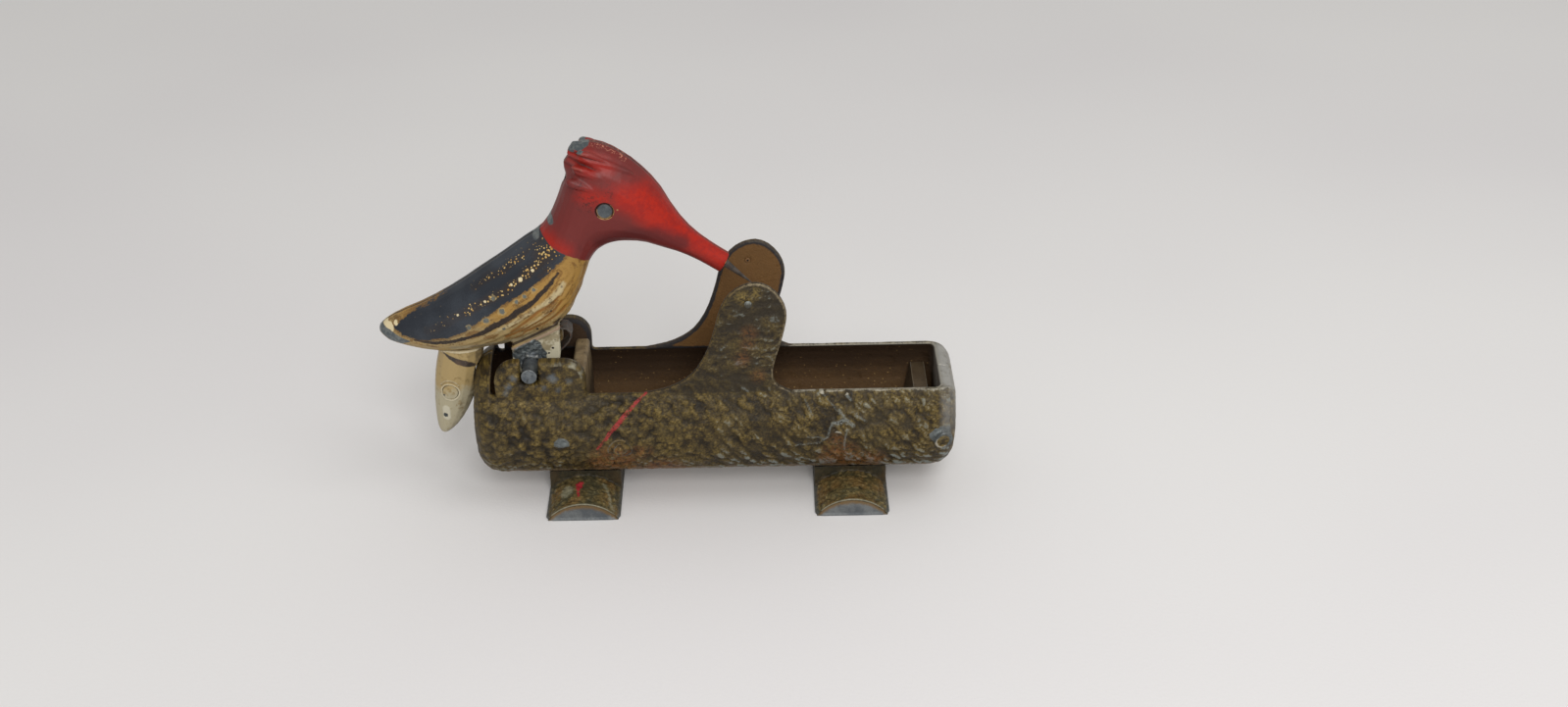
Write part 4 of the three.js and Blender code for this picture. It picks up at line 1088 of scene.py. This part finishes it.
# Worn feather ridges, where gold shows through the dark: paths in the side view.
gold_ridges = [
    [
        (-28.7, 68.4), (-30.5, 67.0), (-33.9, 64.3), (-36.4, 62.6), (-38.6, 60.7), (-41.5, 59.3),
        (-45.7, 56.3),
    ],
    [
        (-26.3, 67.4), (-27.6, 65.0), (-30.2, 62.9), (-32.2, 61.2), (-34.1, 59.8), (-36.8, 57.8),
        (-38.2, 56.6), (-40.9, 55.0), (-44.8, 52.9), (-49.7, 50.2), (-53.9, 47.2), (-57.2, 45.9),
    ],
    [(-27.2, 62.6), (-28.6, 61.6), (-29.6, 60.7)],
]
gold_half_widths = [0.45, 0.95, 0.5]
gold_scatter = (-28.6, 65.8)
dark_feather = [
    (-25.2, 61.3), (-26.2, 60.1), (-27.2, 58.7), (-28.4, 57.2), (-29.9, 56.0), (-31.1, 54.5),
    (-32.6, 53.2), (-34.8, 52.0), (-36.7, 50.4), (-38.7, 49.1), (-40.7, 48.0), (-43.9, 45.8),
    (-47.1, 44.5), (-52.0, 42.9), (-56.1, 42.4), (-60.9, 42.8),
]
dark_feather_half_widths = [
    0.35, 0.3, 0.45, 0.5, 0.5, 0.55, 0.6, 0.7, 0.8, 0.85, 0.8, 0.7, 0.6, 0.5, 0.45, 0.35,
]
brown_feathers = [
    [
        (-25.4, 54.9), (-26.6, 53.7), (-28.3, 52.5), (-30.6, 51.2), (-32.2, 49.7), (-33.7, 48.4),
        (-37.2, 45.7),
    ],
    [(-24.8, 53.6), (-26.2, 51.8), (-28.1, 49.9), (-30.4, 48.3), (-32.9, 46.8), (-38.8, 43.9)],
    [(-24.0, 51.6), (-25.4, 50.0), (-27.5, 48.4), (-30.2, 46.9), (-34.2, 45.1)],
]
brown_half_widths = [0.22, 0.22, 0.22]
# Pale stripes between the brown ones.
pale_stripes = [
    [
        (-24.3, 58.4), (-25.3, 56.4), (-27.8, 54.0), (-31.2, 51.9), (-34.6, 49.7), (-38.0, 47.4),
        (-41.5, 45.4),
    ],
    [(-25.6, 52.6), (-28.0, 50.9), (-31.2, 48.6), (-34.5, 46.5)],
]
pale_stripe_half_widths = [(0.6, 1.0, 0.9, 0.6, 0.5, 0.35, 0.1), (0.15, 0.4, 0.4, 0.15)]
belly_edge = [
    (-52.0, 40.7), (-47.6, 40.8), (-39.3, 41.7), (-33.3, 43.3), (-28.5, 44.9), (-25.6, 46.6),
]
belly_lip = [(-37.2, 40.2), (-34.0, 41.7), (-31.4, 42.9), (-28.5, 44.3), (-26.0, 45.7)]
belly_groove = [(-38.6, 40.6), (-34.5, 42.5), (-31.6, 43.9), (-28.9, 45.2), (-25.6, 47.0)]
tail_bare = [(-69.7, 44.9), (-67.7, 43.6), (-66.2, 42.6), (-64.7, 42.1), (-62.4, 42.3)]
tail_bare_half_widths = (0.9, 1.3, 1.5, 1.2, 0.3)
# Chips down to the metal: place, height, radius.
chips = [
    (-31.1, 57.3, 0.5), (-33.4, 55.7, 0.48), (-35.4, 54.3, 0.48), (-39.0, 51.8, 0.65),
    (-42.9, 49.4, 0.72), (-47.2, 47.3, 0.45), (-38.9, 46.9, 0.42), (-40.9, 54.9, 0.46),
]
# Larger bare places: two at the nape, and three that make up one on the crest's tip.
bare_spots = [
    (-26.9, 72.9, 1.0), (-30.5, 69.1, 1.05), (-20.4, 91.0, 1.3), (-19.0, 91.5, 1.4),
    (-17.9, 91.9, 1.2),
]
dark_specks = [
    (-27.5, 51.1, 0.3), (-31.2, 45.6, 0.3), (-27.9, 40.1, 0.28), (-28.9, 38.7, 0.28),
    (-27.2, 42.4, 0.16),
]
cream_blobs = [
    (-34.1, 59.8, 0.55), (-67.0, 45.3, 1.1), (-67.9, 45.8, 0.8), (-42.9, 54.1, 0.3),
    (-31.2, 62.0, 0.4), (-36.3, 58.4, 0.3), (-49.7, 50.3, 0.28), (-65.4, 46.5, 0.5),
]
# Where the red is still bright: the face and beak, a groove of the crest and patches of the neck.
bright_paths = [
    [(-9.0, 80.0), (-5.0, 78.5), (0.0, 73.0), (6.0, 68.0), (15.5, 60.0)],
    [(-20.0, 89.2), (-15.8, 87.9), (-12.4, 86.6)],
    [(-19.5, 88.0), (-16.0, 86.2)],
    [(-17.5, 80.5), (-13.5, 79.6)],
    [(-29.2, 70.6), (-26.6, 68.6), (-23.0, 66.6)],
]
bright_half_widths = [
    (2.5, 3.6, 3.6, 2.6, 2.4), (0.6, 0.5, 0.3), (0.4, 0.2), (1.1, 1.2), (0.4, 0.9, 0.3),
]
chin_shade = [(-15, 67.5), (-11.5, 68.6), (-7, 69.8), (-2, 69.4), (4, 66.8)]
# Grooves of the crest, and the ridges between them.
crest_grooves = [
    [(-23.0, 90.1), (-20.9, 89.9), (-17.6, 89.3), (-13.3, 88.1), (-10.6, 87.0)],
    [(-23.6, 88.7), (-21.4, 88.4), (-18.7, 87.8), (-15.5, 86.6), (-12.7, 85.8)],
    [(-24.0, 87.0), (-22.0, 86.8), (-19.0, 86.3), (-16.2, 85.3)],
]
crest_groove_half_widths = [(0, 0, 0, -0.2, -1.0), (0, 0, 0, -0.2, -1.0), (0, 0, -0.2, -1.0)]
crest_ridges = [
    [(-20.6, 90.6), (-16.1, 90.0), (-12.0, 88.6), (-9.0, 87.0)],
    [(-21.2, 89.1), (-16.3, 88.0), (-12.7, 86.9)],
    [(-21.6, 87.7), (-17.6, 86.8), (-14.8, 85.6)],
]
crest_ridge_half_widths = [(0, 0, -0.2, -1.0), (0, 0, -1.0), (0, 0, -1.0)]
# The crest's back edge bulges in two lobes: height, and how far it stands back there.
crest_lobes = [
    (79.6, 0.0), (80.9, -0.1), (82.6, -0.7), (84.1, -0.2), (85.4, 0.5), (86.7, 1.0),
    (88.1, 0.45), (89.8, 1.2), (91.3, 1.3),
]
# Where a pale painted sheen runs along the top of the crest.
crest_top = [(-16.8, 91.4), (-13.4, 90.7), (-10.6, 89.2), (-8.5, 87.5)]
grime_spots = [(-17.5, 79.0, 2.0), (-12.5, 81.2, 1.0), (-19.0, 83.5, 1.2)]
eye_low, eye_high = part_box("eye_pin")
eye_x = (eye_low.x + eye_high.x) / 2 / mm
eye_z = (eye_low.z + eye_high.z) / 2 / mm
beak_end = (14.9, 60.3, 0.9)
axle_x, axle_z = -33.25, 36.5
leg_outer_y = 5.2
# How high ridges stand and how deep grooves go, in millimetres.
gold_rise, vane_rise, belly_lip_rise, crest_ridge_rise = 0.14, 0.06, 0.35, 0.2
dark_depth, brown_depth, belly_groove_depth, crest_groove_depth = 0.12, 0.16, 0.3, 0.5


def paint_bird(board):
    place = board.own_place()
    fine = board.noise(place, 0.38, 4.0, 0.6)
    grit = board.noise(place, 0.9, 3.0, 0.6)
    patch = board.noise(place, 3.4, 3.0)
    wide = board.noise(place, 11.0, 2.0)
    streak = board.noise(board.scaled(board.vector("feather"), (0.16, 1.0, 1.0)), 0.9, 3.0, 0.55)
    wobble = ragged(grit, 0.9)
    # Belly and breast.
    pale = (board["pale"] + ragged(patch, 1.1, streak, 0.9)).between(0.25, 0.85)
    body = board.mix(shade(158, 122, 62), shade(156, 135, 92), pale)
    dirt = (streak + ragged(fine, 0.5, patch, 0.4)).between(0.5, 0.64)
    body = body.coat(shade(112, 78, 36), dirt * 0.75)
    stripe = (board["pale_stripe"] + wobble * 1.6 + ragged(streak, 2.0)).between(0.35, -0.6)
    body = body.coat(shade(196, 184, 146), stripe * 0.7)
    worn = stripe * (grit + ragged(fine, 0.5)).between(0.56, 0.66)
    body = body.coat(shade(134, 134, 122), worn * 0.7)
    brown = (board["brown"] + wobble * 0.5 + ragged(streak, 0.5)).between(0.35, -0.2)
    body = body.coat(shade(130, 82, 28), brown * 0.85)
    stain = (grit + ragged(patch, 0.9, fine, 0.3)).between(0.6, 0.74)
    body = body.coat(shade(92, 68, 36), stain * 0.6)
    # A grey-cream band along the belly's lower edge is a painted highlight.
    dusty = board.mix(shade(150, 138, 110), shade(120, 106, 80), patch.between(0.45, 0.65))
    edge = (board["belly_edge"] + wobble * 0.4).between(0.2, -0.3)
    body = body.coat(dusty, edge * 0.85)
    dark = (board["dark_feather"] + wobble * 0.9 + ragged(streak, 1.1)).between(0.12, -0.14)
    body = body.coat(shade(44, 35, 30), dark * (fine + grit * 0.5 + 0.3).least(1.0))
    # Wings.
    blue = board.mix(shade(37, 41, 48), shade(55, 60, 67), (wide + fine * 0.3).between(0.5, 0.8))
    rubbed = (ragged(patch, 1.4, streak, 0.8) - board["gold"]).between(-0.7, 0.6)
    rubbed = rubbed * board["rubbing"]
    blue = blue.coat(shade(52, 38, 26), rubbed * 0.6)
    dots = rubbed * 0.4 + ragged(fine, 0.3, patch, 0.5) - board.cells(place, 0.68)
    gold = board.mix(shade(174, 132, 62), shade(206, 178, 118), grit.between(0.4, 0.6))
    blue = blue.coat(gold, dots.between(-0.03, 0.06) * rubbed.between(0.05, 0.3))
    dust = board.cells(place, 1.1).between(0.16, 0.1) * patch.between(0.5, 0.6)
    blue = blue.coat(shade(140, 120, 84), dust * 0.6)
    wing = board["wing"] + wobble * 1.2 + ragged(streak, 1.5)
    body = body.coat(shade(92, 64, 34), wing.between(0.9, 0.1) * (fine + 0.1).least(0.7))
    color = body.coat(blue, wing.between(0.12, -0.12))
    cream = (board["cream"] + wobble * 0.7 + ragged(fine, 0.3)).between(0.08, -0.08)
    color = color.coat(shade(214, 198, 158), cream)
    # Head.
    bright = (board["bright"] + ragged(patch, 3.4, grit, 1.4, fine, 0.9)).between(3.0, -2.0)
    fresh = (patch * 0.6 + grit * 0.6).between(0.5, 0.7)
    fresh = board.mix(shade(148, 26, 16), shade(166, 30, 10), fresh)
    head = board.mix(shade(108, 39, 36), fresh, bright)
    # Painted shade darkens the red under the jaw.
    under = (board["chin"] + ragged(patch, 1.6)).between(2.2, -0.5)
    head = head.coat(shade(82, 28, 28), under * 0.75)
    cloud = (board.noise(place, 5.0, 3.0) + ragged(fine, 0.3)).between(0.54, 0.74)
    head = head.coat(shade(88, 32, 31), cloud * (1 - bright * 0.7) * 0.55)
    grime = board["grime"].between(2.5, -1.5) * (grit + ragged(fine, 0.7)).between(0.5, 0.64)
    head = head.coat(shade(72, 27, 25), grime * 0.8)
    # The crest's grooves are darkened as painted shade, and its ridges lightened as painted sheen.
    head = head.coat(shade(70, 22, 20), board["groove"].between(0.5, 0.0) * 0.6)
    ridge = (board["ridge"] + wobble * 0.2).between(0.6, 0.0)
    head = head.coat(shade(150, 62, 56), ridge * 0.4)
    head = head.coat(shade(188, 92, 78), (grit * 0.6 + fine * 0.5).between(0.68, 0.76) * 0.25)
    # A painted sheen, pale pink in patches, along the top of the crest.
    top = (board["crest_top"] + wobble).between(0.3, -0.2)
    top = top * (grit + fine - 0.5).between(0.56, 0.66)
    head = head.coat(shade(196, 132, 106), top * 0.75)
    red = (board["red"] + wobble * 0.22).between(-0.08, 0.08)
    color = color.coat(head, red)
    # Legs, solder and wear.
    leg, hollow, inside = board["leg"], board["hollow"], board["inside"]
    legs = (patch + ragged(grit, 0.5)).between(0.48, 0.7)
    legs = board.mix(shade(200, 192, 166), shade(146, 134, 106), legs)
    color = color.coat(legs, leg)
    # Painted shade darkens the hollows.
    color = color.coat(shade(34, 24, 20), hollow.between(0.03, 0.16) * 0.8)
    color = color.coat(shade(44, 40, 36), inside)
    seam = (board["seam"] + wobble * 0.15).between(0.26, 0.1) * (1 - inside)
    color = color.coat(shade(38, 34, 34), seam * 0.8)
    edge = (ragged(grit, 0.06) - hollow).between(0.05, 0.11)
    color = color.coat(shade(120, 110, 92), edge * 0.4)
    # The groove above the belly's lip is painted dark: painted shade under the belly's edge.
    groove = (board["belly_groove"] + wobble * 0.25).between(0.12, -0.08) * (1 - inside)
    color = color.coat(shade(42, 30, 22), groove * 0.9)
    lip = (board["belly_lip"] + wobble * 0.25).between(0.12, -0.08) * (1 - inside)
    color = color.coat(shade(150, 128, 106), lip)
    chip = board["chip"] + wobble * 0.7 + ragged(fine, 0.5)
    rim = (chip + wobble * 1.9).between(0.45, 0.1) * (1 - inside) * (1 - leg) * 0.65
    color = color.coat(shade(176, 156, 110), rim * (fine + 0.2).least(1.0))
    speck = (board["speck"] + wobble * 0.3 + ragged(fine, 0.3)).between(0.05, -0.05)
    color = color.coat(shade(46, 40, 36), speck)
    # A dark ring above and behind the eye is painted shade, where the eye sits sunk in the head.
    socket = (board["socket"] + wobble * 0.15).between(0.1, -0.05)
    color = color.coat(shade(46, 22, 20), socket * 0.8)
    # Gold paint, and a painted glint before the eye.
    gilt = (board["gilt"] + wobble * 0.3).between(0.08, -0.06)
    color = color.coat(shade(184, 150, 96), gilt * grit.between(0.3, 0.5))
    solder = (board["solder"] + wobble * 0.8 + ragged(patch, 2.6)).between(0.2, -0.2)
    bare = (board["bare"] + wobble * 0.6).between(0.1, -0.1)
    bare = chip.between(0.05, -0.03).most(bare).most(solder)
    metal = (grit * 0.8 + patch * 0.5).between(0.55, 0.8)
    metal = board.mix(shade(88, 95, 98), shade(124, 128, 126), metal)
    brushed = board.noise(board.scaled(place, (0.5, 1.0, 1.6)), 0.8, 3.0, 0.6)
    brushed = brushed + ragged(fine, 0.3)
    metal = metal.coat(shade(134, 143, 144), brushed.between(0.5, 0.64) * solder * 0.6)
    metal = metal.coat(shade(46, 48, 51), brushed.between(0.46, 0.34) * solder * 0.75)
    metal = metal.coat(shade(120, 120, 108), chip.between(0.3, 0.0) * 0.6)
    color = color.coat(metal, bare)
    rough = 0.42 + ragged(fine, 0.25, patch, 0.12) + (1 - red) * 0.06 - bare * 0.04
    lift = fine * 0.4 + grit * 0.35 + patch * 0.25 - bare * 0.8 - speck * 0.5 - brown * 0.3
    return color, rough, bare * 0.6, board.bump(lift, 0.1, 0.75)


bird_finish = finish(
    "plumage", paint_bird, Specular_IOR_Level=0.27, Coat_Weight=0.03, Coat_Roughness=0.3
)


def inside_of(x, z, outline):
    """Which points lie within a closed outline, in the side view."""
    within = np.zeros(len(x), bool)
    for (ax, az), (bx, bz) in zip(outline, outline[1:] + outline[:1]):
        if az != bz:
            crossing = (az > z) != (bz > z)
            within ^= crossing & (x < (bx - ax) * (z - az) / (bz - az) + ax)
    return within


def dress_bird(name, node, side):
    piece = recast(name, node, voxel=bird_voxel, easing=2)
    close_seam(piece, side)
    # The tips of the crest's ridges are rounded off at the back.
    places = points_of(piece)[0]
    tips = step(places[:, 0], -18.3, -19.3) * step(places[:, 2], 82.5, 84)
    tips = tips * step(places[:, 1] * side, 1.5, 2.5)
    put_points(piece, places + tips[:, None] * (smoothed(piece, rounds=14) - places))

    # Distances to what is painted or cast. Red and wing change sign at their edges.
    places, normals = points_of(piece)
    x, y, z = places.T
    out, outward = y * side, normals[:, 1] * side
    red = from_path(x, z, red_edge)
    red = np.where(inside_of(x, z, red_edge + [(60, 57), (60, 120), (-36, 120)]), red, -red)
    wing = from_path(x, z, wing_edge + wing_edge[:1])
    wing = np.where(inside_of(x, z, wing_edge), -wing, wing)
    gold = np.hypot((x - gold_scatter[0]) * 0.7, z - gold_scatter[1]) - 2.6
    gold = np.minimum(nearest_path(x, z, gold_ridges, gold_half_widths), gold * 0.4 + 0.25)
    dark = from_path(x, z, dark_feather, dark_feather_half_widths)
    vanes = from_path(x, z, dark_feather)
    brown = nearest_path(x, z, brown_feathers, brown_half_widths)
    lip = from_path(x, z, belly_lip, 0.3)
    trough = from_path(x, z, belly_groove, 0.28)
    low_side = out > 3.4
    under_belly = z < 40.4 + (x + 37.2) * 0.49
    leg = low_side & under_belly & (out < leg_outer_y + 0.1) & (np.abs(x - axle_x - 1.5) < 7)
    grooves = nearest_path(x, z, crest_grooves, crest_groove_half_widths)
    ridges = nearest_path(x, z, crest_ridges, crest_ridge_half_widths)

    rise = gold_rise * mound(gold, 0.7) - dark_depth * mound(dark, 0.35)
    rise = rise - brown_depth * mound(brown, 0.3)
    rise = rise + vane_rise * np.sin(vanes * 4.2) * step(wing, 0.0, 0.8) * step(x, -62, -50)
    rise = rise * step(z, 39, 41) * (1 - leg) * step(red, 0.3, -0.3)
    seam_lines = belly_lip_rise * mound(lip, 0.3) - belly_groove_depth * mound(trough, 0.3)
    rise = rise + seam_lines * low_side
    crest = step(out, 0.6, 1.8) * step(red, 0, 1)
    forward = step(x, -21.8, -19)
    flutes = crest_ridge_rise * mound(ridges, 0.5) * forward
    flutes = flutes - crest_groove_depth * mound(grooves, 0.5) * (0.6 + 0.4 * forward)
    rise = rise + flutes * crest
    knob = np.hypot(x - axle_x + 0.4, z - axle_z - 2.6)
    solder = only((out > leg_outer_y - 0.6) & (out < 7) & under_belly, knob - 4.0)
    lumps = np.array([noise.noise(Vector(place) * 1.1) for place in places[solder < 2]])
    rise[solder < 2] += (lumps * 0.36 + 0.16) * step(solder[solder < 2], 1.2, -1.5)
    rise = rise * step(out, 0.0, 0.6) * step(outward, -0.35, 0.0)
    move_points(piece, normals, rise * (np.abs(normals[:, 1]) + np.abs(normals[:, 2]) > 0.2))
    lobes = np.interp(z, *zip(*crest_lobes)) * step(z, 79.6, 80.9)
    lobes = lobes * step(normals[:, 0], -0.1, -0.6) * step(out, 3.2, 1.2)
    moved = points_of(piece)[0]
    moved[:, 0] -= lobes * step(x, -16, -18.5) * step(x, -32, -28)
    put_points(piece, moved)

    # Painted shade lies round the eye above and behind it, and gold paint before it. Gold is on the
    # beak's end as well.
    eye_gap = np.hypot(x - eye_x, z - eye_z)
    behind = z - x - eye_z + eye_x
    gilt = only(behind < 0.6, np.abs(eye_gap - 2.1) - 0.1)
    # The small spot just before the eye is a painted glint, in gold.
    gilt = np.minimum(gilt, from_spots(x, z, [(eye_x + 3.0, eye_z + 0.4, 0.2), beak_end]))
    rubbing = np.clip(step(x, -58, -30) + 0.35, 0, 1)
    bare = from_path(x, z, tail_bare, tail_bare_half_widths)
    store(
        piece,
        red=red,
        wing=wing,
        gold=gold,
        dark_feather=dark,
        brown=brown,
        pale_stripe=nearest_path(x, z, pale_stripes, pale_stripe_half_widths),
        belly_edge=from_path(x, z, belly_edge, 0.7),
        belly_lip=only(low_side, lip),
        belly_groove=only(low_side, trough),
        bare=np.minimum(bare, from_spots(x, z, bare_spots)),
        rubbing=rubbing * (1 - 0.25 * step(from_path(x, z, gold_ridges[0]), 1.0, 0.5)),
        leg=leg.astype(float),
        bright=nearest_path(x, z, bright_paths, bright_half_widths),
        chin=from_path(x, z, chin_shade, 1.0),
        groove=only(crest > 0.5, grooves),
        ridge=only(crest > 0.5, ridges),
        crest_top=from_path(x, z, crest_top, 0.35),
        grime=from_spots(x, z, grime_spots),
        pale=step(z - (x + 40) * 0.05, 54, 45) * 0.75 + step(x, -60, -40) * 0.15,
        feather=np.stack([x, vanes, y], 1),
        hollow=hollowness(piece, rounds=3),
        inside=((out < 0.3) & (outward < -0.5)).astype(float),
        seam=only(z > 30, out),
        chip=from_spots(x, z, chips),
        speck=from_spots(x, z, dark_specks),
        cream=from_spots(x, z, cream_blobs),
        socket=only(behind > -0.6, np.abs(eye_gap - 2.0) - 0.3),
        gilt=gilt,
        solder=solder,
    )
    piece.data.materials.append(bird_finish)
    fit(piece, "woodpecker", "plumage", node)


dress_bird("bird_near", "bird_near_half", -1)
dress_bird("bird_far", "bird_far_half", 1)


# Tail weight. A solid cream-painted casting hangs below the body and holds the head up. A round
# plug is pressed into its side, and a dark crescent near its top is painted shadow, under the
# belly's edge.

# The dark crescent near the top: painted shadow under the belly's edge.
dark_stroke = [(-54.6, 38.3), (-52.9, 37.2), (-51.1, 36.3), (-49.3, 35.5), (-47.6, 34.8)]
dark_stroke_half_widths = [0.15, 0.5, 0.78, 0.85, 0.5]
plug_low, plug_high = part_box("tail_plug")
plug_x = (plug_low.x + plug_high.x) / 2 / mm
plug_z = (plug_low.z + plug_high.z) / 2 / mm
weight_chips = [(-55.4, 21.0, 0.5), (-55.3, 27.0, 0.28)]
pale_blob = [(-55.2, 22.8), (-55.2, 20.4)]
# The raised ring round the plug, and the arc above it.
ring_rise, ring_radius = 0.2, 2.15
arc_rise, arc_radius = 0.16, 2.35


def paint_cream(board):
    place, hollow = board.own_place(), board["hollow"]
    fine = board.noise(place, 0.4, 4.0, 0.6)
    grit = board.noise(place, 1.0, 3.0, 0.6)
    patch = board.noise(place, 4.0, 3.0)
    high = (board["high"] + ragged(patch, 0.9, grit, 0.3)).between(0.2, 0.75)
    color = board.mix(shade(168, 159, 132), shade(166, 143, 96), high)
    stain = (grit + ragged(patch, 0.7)).between(0.57, 0.7)
    color = color.coat(shade(128, 106, 62), stain * 0.6)
    blob = (board["blob"] + ragged(grit, 0.6)).between(0.2, -0.2)
    color = color.coat(shade(190, 184, 162), blob)
    # Painted shade darkens the hollows.
    color = color.coat(shade(92, 78, 54), hollow.between(0.01, 0.06) * 0.8)
    edge = (ragged(grit, 0.03) - hollow).between(0.02, 0.06)
    color = color.coat(shade(206, 196, 168), edge * 0.6)
    # The ring round the plug and the arc above it are painted darker: painted shade in the crease
    # and under the arc.
    ring = (board["ring"] + ragged(grit, 0.25)).between(0.08, -0.04)
    color = color.coat(shade(104, 90, 64), ring * (patch + grit - 0.5).between(0.3, 0.65) * 0.6)
    shadow = board["side"].between(0.15, 0.8) * (grit * 0.8 + patch - 0.5).between(0.2, 0.6)
    color = color.coat(shade(112, 98, 74), shadow * 0.75)
    # A dark crescent near the top is painted shadow, under the belly's edge.
    stroke = (board["stroke"] + ragged(grit, 0.6)).between(0.16, -0.16)
    dark = board.mix(shade(54, 48, 44), shade(84, 66, 52), patch.between(0.4, 0.65))
    color = color.coat(dark, stroke * (fine + 0.55).least(1.0))
    chip = (board["chip"] + ragged(grit, 0.9, fine, 0.5)).between(0.08, -0.08)
    color = color.coat(shade(74, 78, 78), chip)
    lift = (fine + grit + patch) * 0.4 - chip - ring * 0.5
    return color, 0.44 + ragged(fine, 0.3), chip * 0.7, board.bump(lift, 0.1, 0.8)


cream_finish = finish("cream", paint_cream, Specular_IOR_Level=0.4)


def dress_weight(name, node, voxel):
    piece = recast(name, node, voxel, easing=3)
    places, normals = points_of(piece)
    x, z = places[:, 0], places[:, 2]
    near = normals[:, 1] < -0.3
    ring = np.hypot(x - plug_x, z - plug_z)
    arc = np.abs(np.hypot(x - plug_x, z - plug_z - 0.9) - arc_radius)
    blob = from_path(x, z, pale_blob, 0.9)
    if node == "tail_weight":
        rise = ring_rise * mound(np.abs(ring - ring_radius), 0.28)
        rise = rise + arc_rise * mound(arc, 0.22) * (z > plug_z + 1.8)
        rise = rise + 0.12 * step(blob, 0.3, -0.3)
        # The top is drawn up to the belly, to which the weight is soldered.
        top = step(normals[:, 2], 0.3, 0.7) * (z > z.max() - 4)
        rise = rise * near + 0.42 * top
    else:
        rise = 0.2 * step(ring, 1.9, 0.2) * near
    move_points(piece, normals, rise)
    rings = np.minimum(np.abs(ring - 1.95) - 0.1, only(z > plug_z + 1.4, arc - 0.08))
    store(
        piece,
        high=step(z, 24, 33),
        blob=only(near, blob),
        hollow=hollowness(piece, rounds=4),
        stroke=only(near, from_path(x, z, dark_stroke, dark_stroke_half_widths)),
        ring=only(near, rings),
        side=np.clip(normals[:, 0], 0, None),
        chip=only(near, from_spots(x, z, weight_chips)),
    )
    piece.data.materials.append(cream_finish)
    fit(piece, "woodpecker", "cream", node)


dress_weight("weight_cast", "tail_weight", 0.2)
dress_weight("weight_plug", "tail_plug", 0.12)


# Eyes. One pin of bare grey metal through the head, its two ends the eyes. The rim of each is
# painted dark towards its top, as painted shade in its sunk setting, and the paint stops short of
# it with a thread of gold.

eye_disc_radius = 1.68


def paint_eye(board):
    place = board.own_place()
    fine = board.noise(place, 0.35, 4.0, 0.6)
    patch = board.noise(place, 1.6, 3.0)
    parts = board.add("ShaderNodeSeparateXYZ", {}, {0: place})
    aside = parts - eye_x
    above = parts.other(2) - eye_z
    gap = (aside * aside + above * above).math("SQRT") + ragged(fine, 0.12)
    rim = gap.between(eye_disc_radius - 0.06, eye_disc_radius + 0.04)
    grey = (patch * 0.8 + fine * 0.4).between(0.45, 0.8)
    color = board.mix(shade(66, 72, 76), shade(92, 98, 101), grey)
    # The rim is painted dark towards its top, as painted shade, and gold towards its bottom.
    gilt = (fine - 0.5 - above - aside * 0.5).between(-0.2, 0.8)
    dirt = board.mix(shade(44, 26, 23), shade(150, 122, 84), gilt * 0.7)
    color = color.coat(dirt, rim)
    grain = board.bump(fine + patch * 0.6 - rim * 0.5, 0.08, 0.7)
    return color, 0.42 + fine * 0.25, 0.45 - rim * 0.4, grain


eye_finish = finish("eye", paint_eye)
plain_piece("eyes", "eye_pin", "woodpecker", "grey_metal", eye_finish, voxel=0.12, easing=3)


# Needle. A turned steel needle with a fine point, cast into the beak and oxidised dark. It goes
# down into a pick and lifts it out.


def paint_steel(board):
    place = board.own_place()
    fine = board.noise(place, 0.25, 4.0, 0.6)
    patch = board.noise(place, 1.4, 3.0)
    dark = (patch + fine * 0.4).between(0.5, 0.85)
    color = board.mix(shade(50, 45, 42), shade(84, 76, 69), dark)
    rust = board.noise(place, 0.8, 3.0).between(0.56, 0.7)
    color = color.coat(shade(104, 62, 36), rust * 0.7)
    color = color.coat(shade(40, 36, 34), fine.between(0.6, 0.72) * 0.6)
    return color, 0.46 + fine * 0.2, 0.25, board.bump(fine + patch * 0.5, 0.05, 0.7)


steel_finish = finish("dark_steel", paint_steel)
plain_piece("needle_pin", "needle", "woodpecker", "steel", steel_finish, voxel=0.08, easing=0)


# Axle. A grey pin soldered through the legs. The solder was filed by hand, and stands in lumps
# round the pin on each leg.


def solder_lump(name, node, side):
    piece = recast(name, node, voxel=0.13, easing=4)
    places, normals = points_of(piece)
    shift = Vector((0, 0, side * 9))
    bumps = np.array([noise.noise(Vector(place) * 0.9 + shift) for place in places])
    above = step(places[:, 2], axle_z - 2, axle_z + 2)
    outer = step(np.abs(places[:, 1]), leg_outer_y + 0.35, leg_outer_y + 0.7)
    move_points(piece, normals, (bumps * 0.7 * (0.4 + 0.6 * above) + 0.1 * above) * outer)
    store(piece, hollow=hollowness(piece, rounds=4))
    piece.data.materials.append(grey_finish)
    fit(piece, "woodpecker", "grey_metal", node)


solder_lump("near_solder", "axle_collar_near", -1)
solder_lump("far_solder", "axle_collar_far", 1)
plain_piece("axle_pin", "axle", "woodpecker", "grey_metal", grey_finish, voxel=0.14, easing=4)


# Return spring. A thin strip of spring steel, riveted to the belly and bent forwards, round and
# down to the log's floor, on which its foot rests. The real strip flexes when the bird pecks; here
# it keeps its cast shape and goes with neither the bird nor the log.

spring = recast("spring_strip", "return_spring", voxel=0.11, easing=0)
spring.data.materials.append(steel_finish)
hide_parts("return_spring")
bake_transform(spring)
plain_piece(
    "spring_pin", "spring_rivet", "woodpecker", "grey_metal", grey_finish, voxel=0.1, easing=2
)
